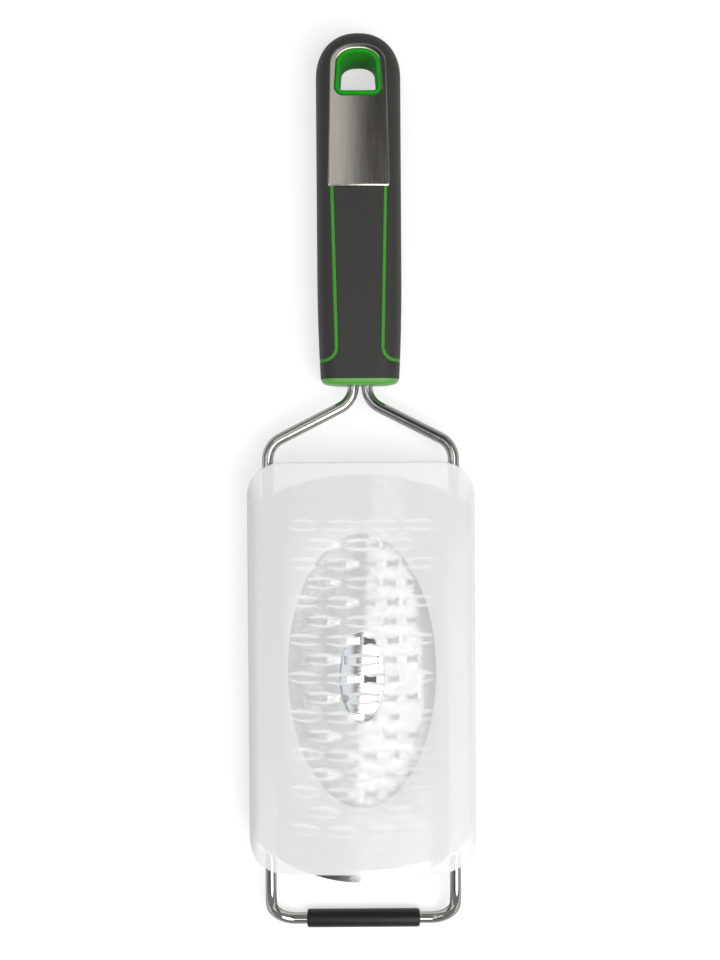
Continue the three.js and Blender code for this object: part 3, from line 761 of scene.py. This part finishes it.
# %% [markdown]
# ## Green lines and bed
# The handle's green core comes to the surface as a thin line on each side. It runs down the front, turns
# outwards above the lower end, goes round the side and up the back, where it widens into a bed round the
# hanging hole. The line is a narrow strip woven along that path, sunk a little under the handle's surface,
# because the soft grips on both sides stand proud of the hard core.

# %% Path of the green line
LINE_HALF = 0.6
LINE_SINK = 0.35
LINE_TOP_X = 9.5
LINE_END_X = 8.2
LINE_LAP = 0.4
LINE_HEIGHTS = (20, 30, 40, 50, 60)
TURN_RADIUS = 4.5
TURN_UP = 10.9
TURN_X = LINE_END_X + TURN_RADIUS
TURN_STEPS = 8


def line_x(up):
    """Distance of the green line from the middle at a height above the turn."""
    return blend(LINE_END_X, LINE_TOP_X, (up - TURN_UP) / (CAP_END - TURN_UP))


def line_path(wide):
    """Points along the front of the line and down the side, moved sideways by a given width."""
    heights = (CAP_END + LINE_LAP, *reversed(LINE_HEIGHTS))
    points = [on_front(line_x(up) + wide, up, LINE_SINK) for up in heights]
    turn = TURN_RADIUS - wide
    for step in range(TURN_STEPS + 1):
        angle = math.pi / 2 * (1 - step / TURN_STEPS)
        up = TURN_UP - turn * math.cos(angle)
        points.append(on_front(TURN_X - turn * math.sin(angle), up, LINE_SINK))
    up = TURN_UP - turn
    edge = half_width(up) - SEAM
    for step in range(1, TURN_STEPS + 1):
        inset = (edge - TURN_X) * (1 - math.sin(math.pi / 2 * step / TURN_STEPS))
        points.append(on_front(edge - inset, up, LINE_SINK))
    return points


ACROSS = (-LINE_HALF, -LINE_HALF / 3, LINE_HALF / 3, LINE_HALF)
front_paths = [line_path(wide) for wide in ACROSS]
paths = [path + [to_back(point) for point in reversed(path)] for path in front_paths]
print("points along the line:", len(paths[0]))

# %% [markdown]
# ## Weaving the core
# One line is woven and mirrored to the other side, and the bed on the back is a ring of faces between the
# hanging hole and an arched outline. All of it gets the thickness of the skin. The rest of the core is
# hidden under the grips, so it isn't drawn.

# %% Weave the core's visible parts
BED_SHOULDER_HALF = 9.1
BED_SHOULDER = 109
BED_TOP = 117
BED_CORNER = 0.3
BED_ROWS = 8


def back_height(x, up):
    """Height of the handle's back."""
    high = max(0, up - DOME_AT) / DOME_HEIGHT
    outline = GRIP_HALF * (1 - high ** DOME_POWER) ** (1 / DOME_POWER)
    return GRIP_THICKNESS - rounded_edge(outline - abs(x))


core = bmesh.new()
weave(core, len(ACROSS) - 1, len(paths[0]) - 1, lambda column, row: paths[column][row])
everything = core.verts[:] + core.edges[:] + core.faces[:]
bmesh.ops.mirror(core, geom=everything, matrix=Matrix.Identity(4), merge_dist=0, axis="X")
bed_outline = arched_outline(LINE_TOP_X + LINE_HALF, BED_SHOULDER_HALF + LINE_HALF, CAP_END, BED_SHOULDER,
                             BED_TOP, BED_CORNER, CAP_CLIMB)
ring_between(core, hole_outline(liner_seat), bed_outline, BED_ROWS, back_height)
close_up(core, handle_middle)
bmesh.ops.solidify(core, geom=core.faces[:], thickness=SKIN)
handle_core = make_piece("green_core", core, "handle_core")

# %% [markdown]
# ## Soft grips
# The dark, soft grips are moulded over the core: a panel on the front and one on the back, each with a
# half of the band round the lower end, and one long strip that runs up one side, over the top and down
# the other. The panels are woven across the handle. The long strip is woven along the outline, and its
# cross lines run from the seam on the front over the rounded edge to the seam on the back.

# %% Crossings of a panel and its band
PANEL_STEPS = 16
BAND_ROWS = 4
BAND_EDGE = 8
LINE_EDGE = LINE_HALF + SEAM
panel_turn = TURN_RADIUS + LINE_EDGE
panel_rows = []
for step in range(TURN_STEPS + 1):
    angle = math.pi / 2 * step / TURN_STEPS
    panel_rows.append((TURN_UP - panel_turn * math.cos(angle), TURN_X - panel_turn * math.sin(angle)))
for up in (*LINE_HEIGHTS, CAP_END - SEAM):
    panel_rows.append((up, line_x(up) - LINE_EDGE))
band_top = panel_rows[0][0]


def panel_crossing(column, row):
    """A crossing of the panel between the green lines."""
    up, half = panel_rows[row]
    return on_front((2 * column / PANEL_STEPS - 1) * half, up)


def band_crossing(column, row):
    """A crossing of the band below, as far round as the middle of the sides."""
    up = band_top * row / BAND_ROWS
    side = column - BAND_EDGE - PANEL_STEPS / 2
    if abs(side) <= PANEL_STEPS / 2:
        return on_front(2 * side / PANEL_STEPS * TURN_X, up)
    step = abs(side) - PANEL_STEPS / 2
    edge = half_width(up)
    if step == BAND_EDGE:
        return Vector((math.copysign(edge, side), GRIP_END_AT + up, GRIP_THICKNESS / 2 + SEAM))
    inset = (edge - TURN_X) * (1 - math.sin(math.pi / 2 * step / (BAND_EDGE - 1)))
    return on_front(math.copysign(edge - inset, side), up)


print("rows of a panel:", len(panel_rows), "band up to", round(band_top, 2))

# %% Weave both panels
PANEL_SOFTENING = 0.2


def panel(name, node, at_back=False):
    """One panel with its half of the band, on the front or the back."""
    bm = bmesh.new()
    weave(bm, PANEL_STEPS, len(panel_rows) - 1, panel_crossing)
    weave(bm, PANEL_STEPS + 2 * BAND_EDGE, BAND_ROWS, band_crossing)
    if at_back:
        for vert in bm.verts:
            vert.co = to_back(vert.co)
    close_up(bm, handle_middle)
    bmesh.ops.solidify(bm, geom=bm.faces[:], thickness=SKIN)
    piece = make_piece(name, bm, node)
    soften(piece, PANEL_SOFTENING)
    return piece


front_grip = panel("front_panel", "front_grip")
rear_grip = panel("rear_panel", "rear_grip", at_back=True)

# %% [markdown]
# ## Side strip
# The long strip follows the handle's outline from one end of the band over the dome to the other. Each
# cross line starts at the seam on the front, climbs out over the rounded edge, goes down the side wall and
# comes back in to the seam on the back. On the dome the lines spread like a fan round the cap plate.

# %% Seams of the strip


def front_seam(up):
    """Inner edge of the strip on the front: along the green line, then along the cap plate."""
    if up < CAP_END:
        return line_x(up) + LINE_EDGE
    return blend(CAP_HALF, CAP_SHOULDER_HALF, (up - CAP_END) / (CAP_SHOULDER - CAP_END)) + SEAM


def back_seam(up):
    """Inner edge of the strip on the back: along the green line and the green bed."""
    if up < CAP_END:
        return line_x(up) + LINE_EDGE
    return blend(LINE_TOP_X, BED_SHOULDER_HALF, (up - CAP_END) / (BED_SHOULDER - CAP_END)) + LINE_EDGE


print("seams beside the cap:", round(front_seam(CAP_END), 2), "and the bed:", round(back_seam(CAP_END), 2))

# %% Cross lines of the strip
DOME_STEPS = 36
HEIGHTS_BELOW_CAP = range(18, 60, 8)
HEIGHTS_BESIDE_CAP = range(76, 102, 8)
CAP_STEP = 0.01


def strip_rays():
    """Cross lines of the strip on the right half, each from its seams on front and back to the outline."""
    rays = []
    turn = TURN_RADIUS - LINE_EDGE
    for step in range(TURN_STEPS):
        angle = math.pi / 2 * step / TURN_STEPS
        up = TURN_UP - turn * math.cos(angle)
        seam = Vector((TURN_X - turn * math.sin(angle), up))
        rays.append((Vector((half_width(up), up)), seam, seam))
    heights = (TURN_UP, *HEIGHTS_BELOW_CAP, CAP_END - CAP_STEP, CAP_END, *HEIGHTS_BESIDE_CAP, DOME_AT)
    for up in heights:
        rays.append(tuple(Vector((across, up)) for across in (half_width(up), front_seam(up), back_seam(up))))
    for step in range(1, DOME_STEPS // 2 + 1):
        angle = math.pi * step / DOME_STEPS
        wide = max(0, math.cos(angle)) ** ARCH_POWER
        high = math.sin(angle) ** ARCH_POWER
        dome_wide = max(0, math.cos(angle)) ** (2 / DOME_POWER)
        dome_high = math.sin(angle) ** (2 / DOME_POWER)
        outside = Vector((GRIP_HALF * dome_wide, DOME_AT + DOME_HEIGHT * dome_high))
        on_cap = Vector(((CAP_SHOULDER_HALF + SEAM) * wide, blend(CAP_SHOULDER, CAP_TOP + SEAM, high)))
        on_bed = Vector(((BED_SHOULDER_HALF + LINE_EDGE) * wide, blend(BED_SHOULDER, BED_TOP + SEAM, high)))
        rays.append((outside, on_cap, on_bed))
    return rays


rays = strip_rays()
rays += [tuple(Vector((-point.x, point.y)) for point in ray) for ray in reversed(rays[:-1])]
print("cross lines:", len(rays))

# %% Weave the strip
SIDE_ROWS = 10
WALL_ROWS = 3
STRIP_SOFTENING = 0.15


def strip_crossing(column, row):
    """A crossing of the side strip."""
    outside, on_cap, on_bed = rays[column]
    if SIDE_ROWS < row < SIDE_ROWS + WALL_ROWS:
        height = blend(GRIP_THICKNESS - EDGE_DEPTH, EDGE_DEPTH, (row - SIDE_ROWS) / WALL_ROWS)
        return Vector((outside.x, GRIP_END_AT + outside.y, height))
    on_the_front = row <= SIDE_ROWS
    step = row if on_the_front else 2 * SIDE_ROWS + WALL_ROWS - row
    share = 1 - math.sin(math.pi / 2 * step / SIDE_ROWS)
    place = outside.lerp(on_cap if on_the_front else on_bed, share)
    height = rounded_edge((place - outside).length)
    point = Vector((place.x, GRIP_END_AT + place.y, height))
    return point if on_the_front else to_back(point)


strip = bmesh.new()
weave(strip, len(rays) - 1, 2 * SIDE_ROWS + WALL_ROWS, strip_crossing)
close_up(strip, handle_middle)
bmesh.ops.solidify(strip, geom=strip.faces[:], thickness=SKIN)
side_grip = make_piece("side_strip", strip, "side_grip", sharp=40)
soften(side_grip, STRIP_SOFTENING)

# %% [markdown]
# ## End plug
# The lower end of the handle is closed by a green plug, through which the two strands of the wire leave.
# It is an oval disc with a bowed face and a rounded rim. Rings woven from the middle of the face outwards
# let the bow and the rim be formed in one go.

# %% Close the lower end
PLUG_PROUD = 2.4
PLUG_BOW = 0.9
PLUG_RIM = 1.7
PLUG_INSET = 0.1
PLUG_SIDES = 64
FACE_RINGS = 6
RIM_RINGS = 5


def end_oval(column, inset):
    """A point on the handle's end oval, drawn in by an inset."""
    angle = 2 * math.pi * (column % PLUG_SIDES) / PLUG_SIDES
    flat_x = GRIP_END_HALF - EDGE_WIDTH
    flat_z = GRIP_THICKNESS / 2 - EDGE_DEPTH
    across = math.copysign(flat_x, math.cos(angle)) + (EDGE_WIDTH - inset) * math.cos(angle)
    height = math.copysign(flat_z, math.sin(angle)) + (EDGE_DEPTH - inset) * math.sin(angle)
    return across, height


def plug_crossing(column, row):
    """A crossing of the plug's surface: face, rim, side and closed back."""
    share, inset, back = 1, PLUG_INSET, PLUG_PROUD
    if row <= FACE_RINGS:
        share, inset, back = row / FACE_RINGS, PLUG_INSET + PLUG_RIM, 0
    elif row <= FACE_RINGS + RIM_RINGS:
        angle = math.pi / 2 * (row - FACE_RINGS) / RIM_RINGS
        inset = PLUG_INSET + PLUG_RIM * (1 - math.sin(angle))
        back = PLUG_RIM * (1 - math.cos(angle))
    elif row > FACE_RINGS + RIM_RINGS + 1:
        share = 0
    across, height = end_oval(column, inset)
    bow = PLUG_BOW * (across * share / GRIP_END_HALF) ** 2 if back < PLUG_PROUD else 0
    along = min(PLUG_PROUD - SEAM, back + bow)
    return Vector((across * share, GRIP_END_AT - PLUG_PROUD + along, GRIP_THICKNESS / 2 + height * share))


plug = bmesh.new()
weave(plug, PLUG_SIDES, FACE_RINGS + RIM_RINGS + 2, plug_crossing)
close_up(plug, (0, GRIP_END_AT - PLUG_PROUD / 2, GRIP_THICKNESS / 2))
end_plug = make_piece("green_plug", plug, "end_plug", sharp=50)

# %% [markdown]
# ## Grain that several finishes share
# Steel, rubber and plastic all have a fine grain, only at another scale and with another stretch. One
# node group makes it from noise on Object coordinates, and each finish places it with its own values.

# %% Shared grain group
grain_group = bpy.data.node_groups.new("fine grain", "ShaderNodeTree")
grain_group.interface.new_socket("Stretch", in_out="INPUT", socket_type="NodeSocketVector")
grain_group.interface.new_socket("Detail", in_out="INPUT", socket_type="NodeSocketFloat")
grain_group.interface.new_socket("Grain", in_out="OUTPUT", socket_type="NodeSocketFloat")
group_in = grain_group.nodes.new("NodeGroupInput")
group_out = grain_group.nodes.new("NodeGroupOutput")
place_node = grain_group.nodes.new("ShaderNodeTexCoord")
stretch_node = grain_group.nodes.new("ShaderNodeVectorMath")
stretch_node.operation = "MULTIPLY"
noise_node = grain_group.nodes.new("ShaderNodeTexNoise")
noise_node.inputs["Scale"].default_value = 1
grain_group.links.new(place_node.outputs["Object"], stretch_node.inputs[0])
grain_group.links.new(group_in.outputs["Stretch"], stretch_node.inputs[1])
grain_group.links.new(stretch_node.outputs["Vector"], noise_node.inputs["Vector"])
grain_group.links.new(group_in.outputs["Detail"], noise_node.inputs["Detail"])
grain_group.links.new(noise_node.outputs["Fac"], group_out.inputs["Grain"])
print("group sockets:", [item.name for item in grain_group.interface.items_tree])

# %% [markdown]
# ## Steps that every finish goes through
# Each finish starts as a new material with one shader. The grain then does three jobs: it mixes two close
# tones of the colour, it varies the roughness a little, and on most finishes it gives a very low relief.
# Each could be wired by hand in every material, but a short function for each job keeps the finishes
# themselves down to their own values.

# %% Helpers for the finishes
GRAIN_LOW = 0.3
GRAIN_HIGH = 0.7


def new_finish(name):
    """A new material with its node tree and shader."""
    material = bpy.data.materials.new(name)
    material.use_nodes = True
    tree = material.node_tree
    return material, tree, tree.nodes["Principled BSDF"]


def add_grain(tree, stretch, detail=3):
    """Places the grain group and returns its output."""
    node = tree.nodes.new("ShaderNodeGroup")
    node.node_tree = grain_group
    node.inputs["Stretch"].default_value = stretch
    node.inputs["Detail"].default_value = detail
    return node.outputs["Grain"]


def spread(tree, grain, low, high):
    """Maps the grain, which seldom leaves its middle range, onto a range of its own."""
    node = tree.nodes.new("ShaderNodeMapRange")
    node.inputs["From Min"].default_value = GRAIN_LOW
    node.inputs["From Max"].default_value = GRAIN_HIGH
    node.inputs["To Min"].default_value = low
    node.inputs["To Max"].default_value = high
    tree.links.new(grain, node.inputs["Value"])
    return node.outputs["Result"]


def tint(tree, shader, grain, dark, light):
    """Mixes two colours by the grain into the shader's base colour."""
    node = tree.nodes.new("ShaderNodeMix")
    node.data_type = "RGBA"
    node.inputs["A"].default_value = (*dark, 1)
    node.inputs["B"].default_value = (*light, 1)
    tree.links.new(spread(tree, grain, 0, 1), node.inputs["Factor"])
    tree.links.new(node.outputs["Result"], shader.inputs["Base Color"])


def roughen(tree, shader, grain, low, high):
    """Lets the grain vary the shader's roughness."""
    tree.links.new(spread(tree, grain, low, high), shader.inputs["Roughness"])


def relief(tree, shader, grain, depth):
    """Leads the grain into the shader's normal as a bump of a depth in millimetres."""
    node = tree.nodes.new("ShaderNodeBump")
    node.inputs["Distance"].default_value = depth * MILLIMETRE
    tree.links.new(grain, node.inputs["Height"])
    tree.links.new(node.outputs["Normal"], shader.inputs["Normal"])


def dress(material, *pieces):
    """Gives a finish to pieces."""
    for piece in pieces:
        piece.data.materials.append(material)
    print(material.name, "on", [piece.name for piece in pieces])


print("grain is read between", GRAIN_LOW, "and", GRAIN_HIGH)

# %% [markdown]
# ## Steel finishes
# Three steels show: the polished wire, the bright rolled sheet and the brushed cap plate. All are plain
# metal; what tells them apart is the grain. The wire has faint drawing marks, and a specular tint darkens
# what it mirrors at a low angle. The sheet has a fine grain across it, and the cap long brush lines that run
# up and down the handle.

# %% Polished wire
wire_steel, tree, shader = new_finish("polished wire")
shader.inputs["Metallic"].default_value = 1
shader.inputs["Specular Tint"].default_value = (0.2, 0.18, 0.16, 1)
grain = add_grain(tree, (900, 900, 900))
tint(tree, shader, grain, (0.4, 0.385, 0.365), (0.48, 0.465, 0.445))
roughen(tree, shader, grain, 0.05, 0.1)
dress(wire_steel, wire_frame)

# %% Bright sheet
plate_steel, tree, shader = new_finish("bright sheet")
shader.inputs["Metallic"].default_value = 1
grain = add_grain(tree, (300, 3000, 300))
tint(tree, shader, grain, (0.52, 0.525, 0.53), (0.6, 0.605, 0.61))
roughen(tree, shader, grain, 0.1, 0.15)
dress(plate_steel, grater_plate)

# %% Brushed cap
cap_steel, tree, shader = new_finish("brushed cap")
shader.inputs["Metallic"].default_value = 1
grain = add_grain(tree, (6000, 60, 600), detail=4)
tint(tree, shader, grain, (0.36, 0.343, 0.312), (0.48, 0.457, 0.415))
roughen(tree, shader, grain, 0.18, 0.26)
relief(tree, shader, grain, 0.008)
dress(cap_steel, cap_plate)

# %% [markdown]
# ## Rubber finishes
# The grips have the dry, dark grey skin of a soft-touch rubber, with a very fine moulded texture. The
# sleeve is blacker and smoother. Both mirror less than hard plastic does, so the specular level comes down.

# %% Soft grip
RUBBER_GLOSS = 0.35

grip_rubber, tree, shader = new_finish("soft grip")
shader.inputs["Specular IOR Level"].default_value = RUBBER_GLOSS
grain = add_grain(tree, (1800, 1800, 1800))
tint(tree, shader, grain, (0.0335, 0.0335, 0.029), (0.0415, 0.0415, 0.037))
roughen(tree, shader, grain, 0.55, 0.7)
relief(tree, shader, grain, 0.02)
dress(grip_rubber, front_grip, rear_grip, side_grip)

# %% Sleeve rubber
foot_rubber, tree, shader = new_finish("sleeve rubber")
shader.inputs["Specular IOR Level"].default_value = RUBBER_GLOSS
grain = add_grain(tree, (1200, 1200, 1200))
tint(tree, shader, grain, (0.006, 0.0072, 0.0085), (0.009, 0.0105, 0.012))
roughen(tree, shader, grain, 0.35, 0.5)
relief(tree, shader, grain, 0.015)
dress(foot_rubber, foot_sleeve)

# %% [markdown]
# ## Green plastic
# The core, the grommet in the hanging hole and the end plug are the same kind of green plastic. The sunk
# lines are satin, the grommet is deep in colour and dull inside, and the plug is glossy. The plug's two
# tones are painted lighter and a little yellower, as painted light on the end that faces the softbox. One
# function makes all three from a gloss and two tones.

# %% Satin, deep and glossy green


def green_plastic(name, gloss, dark, light):
    """Green plastic with a given gloss and two tones of its colour."""
    material, tree, shader = new_finish(name)
    shader.inputs["Specular IOR Level"].default_value = gloss
    grain = add_grain(tree, (500, 500, 500))
    tint(tree, shader, grain, dark, light)
    roughen(tree, shader, grain, 0.45, 0.55)
    relief(tree, shader, grain, 0.01)
    return material


dress(green_plastic("satin green", 0.08, (0.06, 0.32, 0.034), (0.07, 0.36, 0.042)), handle_core)
dress(green_plastic("deep green", 0.02, (0.014, 0.33, 0.013), (0.02, 0.37, 0.018)), hole_liner)
# painted light: the plug's tones are a lighter, yellower copy of the green, for the end lit by the softbox
dress(green_plastic("glossy green", 0.8, (0.09, 0.39, 0.035), (0.1, 0.43, 0.043)), end_plug)

# %% [markdown]
# ## Zones of the guard
# The guard is milky plastic with a clearer oval window, where the mould was polished. It could be two
# materials on separate faces, but a mask keeps it one plastic and lets the change be a narrow, soft step.
# The mask is made from the distance to the window's middle, measured in the window's own half axes: up to
# one it is window, and beyond one it is frost.

# %% Mask of the window
FROST_STARTS = 0.985
FROST_ENDS = 1.005

guard_plastic, tree, shader = new_finish("milky guard")
window_middle = TO_FRAME @ Vector((0, WINDOW_AT, 0))
place_node = tree.nodes.new("ShaderNodeTexCoord")
centre_node = tree.nodes.new("ShaderNodeMapping")
centre_node.vector_type = "TEXTURE"
centre_node.inputs["Location"].default_value = (0, window_middle.y, 0)
centre_node.inputs["Scale"].default_value = (WINDOW_HALF.x * MILLIMETRE, WINDOW_HALF.y * MILLIMETRE, 1)
length_node = tree.nodes.new("ShaderNodeVectorMath")
length_node.operation = "LENGTH"
frost_node = tree.nodes.new("ShaderNodeMapRange")
frost_node.interpolation_type = "SMOOTHSTEP"
frost_node.inputs["From Min"].default_value = FROST_STARTS
frost_node.inputs["From Max"].default_value = FROST_ENDS
tree.links.new(place_node.outputs["Object"], centre_node.inputs["Vector"])
tree.links.new(centre_node.outputs["Vector"], length_node.inputs[0])
tree.links.new(length_node.outputs["Value"], frost_node.inputs["Value"])
print("middle of the window along the grater:", round(window_middle.y, 4))

# %% [markdown]
# ## Milky wall and clear window
# Light scatters inside the milky wall, so it has subsurface scattering, and some light goes straight
# through, which the alpha channel gives. The window is smoother than the frost and lets more through. The
# wall has two surfaces but should hold light back only once, so a surface that is met from inside the
# wall lets everything through.

# %% Milky guard with a clear window


def by_zone(tree, mask, window, frosted):
    """A value for the window and another for the frosted part."""
    node = tree.nodes.new("ShaderNodeMapRange")
    node.inputs["To Min"].default_value = window
    node.inputs["To Max"].default_value = frosted
    tree.links.new(mask, node.inputs["Value"])
    return node.outputs["Result"]


frost = frost_node.outputs["Result"]
shader.inputs["Subsurface Weight"].default_value = 1
shader.inputs["Subsurface Scale"].default_value = 0.0012
shader.inputs["Subsurface Radius"].default_value = (1, 1, 1)
shader.inputs["IOR"].default_value = 1.45
grain = add_grain(tree, (700, 700, 700))
tint(tree, shader, grain, (0.945, 0.948, 0.93), (0.96, 0.96, 0.945))
tree.links.new(by_zone(tree, frost, 0.2, 0.5), shader.inputs["Roughness"])
relief(tree, shader, grain, 0.002)
side_node = tree.nodes.new("ShaderNodeNewGeometry")
veil_node = tree.nodes.new("ShaderNodeMath")
veil_node.operation = "SUBTRACT"
veil_node.use_clamp = True
tree.links.new(by_zone(tree, frost, 0.6, 0.83), veil_node.inputs[0])
tree.links.new(side_node.outputs["Backfacing"], veil_node.inputs[1])
tree.links.new(veil_node.outputs["Value"], shader.inputs["Alpha"])
dress(guard_plastic, blade_guard)

# %% [markdown]
# ## Floor
# The grater lies on a plain pale floor that should read as white and still keep the soft shadow. More light
# would wash out the grater too, so the floor's own material is lifted instead: it glows a little, but only
# for the camera, for mirrors and for rays through clear things.

# %% Lay the floor
FLOOR_LIFT = 0.6
FLOOR_SIDE = 4
FLOOR_TONE = (0.55, 0.55, 0.55)
MATT = 0.9


def stage_sheet(name, place, width, length, tone):
    """A level sheet of one matt tone, not attached to any body; returns its node tree and shader."""
    drawing = bmesh.new()
    spot = Matrix.Translation(place) @ Matrix.Diagonal((width / 2, length / 2, 1, 1))
    bmesh.ops.create_grid(drawing, x_segments=1, y_segments=1, size=1, matrix=spot)
    mesh = bpy.data.meshes.new(name)
    drawing.to_mesh(mesh)
    drawing.free()
    sheet = bpy.data.objects.new(name, mesh)
    bpy.context.scene.collection.objects.link(sheet)
    paint, tree, shader = new_finish(name)
    shader.inputs["Base Color"].default_value = (*tone, 1)
    shader.inputs["Roughness"].default_value = MATT
    mesh.materials.append(paint)
    return tree, shader


tree, shader = stage_sheet("floor", (0, 0, 0), FLOOR_SIDE, FLOOR_SIDE, FLOOR_TONE)
shader.inputs["Emission Color"].default_value = (1, 1, 1, 1)
ray_node = tree.nodes.new("ShaderNodeLightPath")
seen = ray_node.outputs["Is Camera Ray"]
for kind in ("Is Glossy Ray", "Is Transmission Ray"):
    either_node = tree.nodes.new("ShaderNodeMath")
    either_node.operation = "MAXIMUM"
    tree.links.new(seen, either_node.inputs[0])
    tree.links.new(ray_node.outputs[kind], either_node.inputs[1])
    seen = either_node.outputs["Value"]
lift_node = tree.nodes.new("ShaderNodeMath")
lift_node.operation = "MULTIPLY"
lift_node.inputs[1].default_value = FLOOR_LIFT
tree.links.new(seen, lift_node.inputs[0])
tree.links.new(lift_node.outputs["Value"], shader.inputs["Emission Strength"])
print("floor lifted by", FLOOR_LIFT)

# %% [markdown]
# ## Light
# A wide softbox on the right gives most of the light and the white half of the plate. A dim, slightly blue
# one on the left is what the plate's other half mirrors, and a small fill shows on the left of the steel
# cap. Steel looks like steel only when it also has something dark to mirror, so three dark cards hang
# where the cap, the plate's lower end and the blades look.

# %% Hang lamps and cards
world = bpy.data.worlds.new("studio")
bpy.context.scene.world = world
world.use_nodes = True
world.node_tree.nodes["Background"].inputs["Color"].default_value = (0.93, 0.97, 1, 1)
world.node_tree.nodes["Background"].inputs["Strength"].default_value = 0.355


def softbox(name, place, target, size, watts, colour):
    """A wide, soft lamp that faces a point."""
    lamp = bpy.data.lights.new(name, "AREA")
    lamp.shape = "RECTANGLE"
    lamp.size, lamp.size_y = size
    lamp.energy = watts
    lamp.color = colour
    holder = bpy.data.objects.new(name, lamp)
    holder.location = place
    holder.rotation_euler = (Vector(target) - Vector(place)).to_track_quat("-Z", "Y").to_euler()
    bpy.context.scene.collection.objects.link(holder)


softbox("right softbox", place=(0.47, -0.48, 1), target=(0.25, -0.3, 0), size=(0.94, 1.05), watts=11.1,
        colour=(1, 0.98, 0.94))
softbox("left softbox", place=(-0.66, -0.13, 1), target=(-0.66, -0.13, 0), size=(1.08, 0.6), watts=2.1,
        colour=(0.89, 0.96, 1))
softbox("left fill", place=(-0.3, 0.45, 0.95), target=(0, 0.12, 0), size=(0.28, 0.5), watts=0.35,
        colour=(1, 0.95, 0.88))
stage_sheet("card over the handle", (0.33, 0.5, 1), 0.6, 0.6, (0.024, 0.02, 0.016))
stage_sheet("card beyond the foot", (-0.3, -0.62, 1), 0.6, 0.36, (0.1, 0.09, 0.08))
stage_sheet("card for the blades", (-0.415, -0.22, 0.95), 0.23, 0.11, (0.02, 0.02, 0.02))
print("lamps:", [lamp.name for lamp in bpy.data.lights])

# %% [markdown]
# ## Camera
# The picture is taken from above with a normal lens. The camera stands over the middle of the grater and is
# turned by about a degree, because the real one wasn't quite level either. A matrix places it in one go.

# %% Stand the camera
FILM_WIDTH = 36
LENS = 50
CAMERA_PLACE = (-0.00025, 0.01236, 0.49176)
CAMERA_NOD = math.radians(-1.13)
CAMERA_ROLL = math.radians(-0.38)

camera_data = bpy.data.cameras.new("camera")
camera_data.sensor_width = FILM_WIDTH
camera_data.lens = LENS
camera = bpy.data.objects.new("camera", camera_data)
bpy.context.scene.collection.objects.link(camera)
turned = Matrix.Rotation(CAMERA_NOD, 4, "X") @ Matrix.Rotation(CAMERA_ROLL, 4, "Z")
camera.matrix_world = Matrix.Translation(CAMERA_PLACE) @ turned
bpy.context.scene.camera = camera
bpy.context.scene.view_settings.view_transform = "Standard"
print("camera at", CAMERA_PLACE)
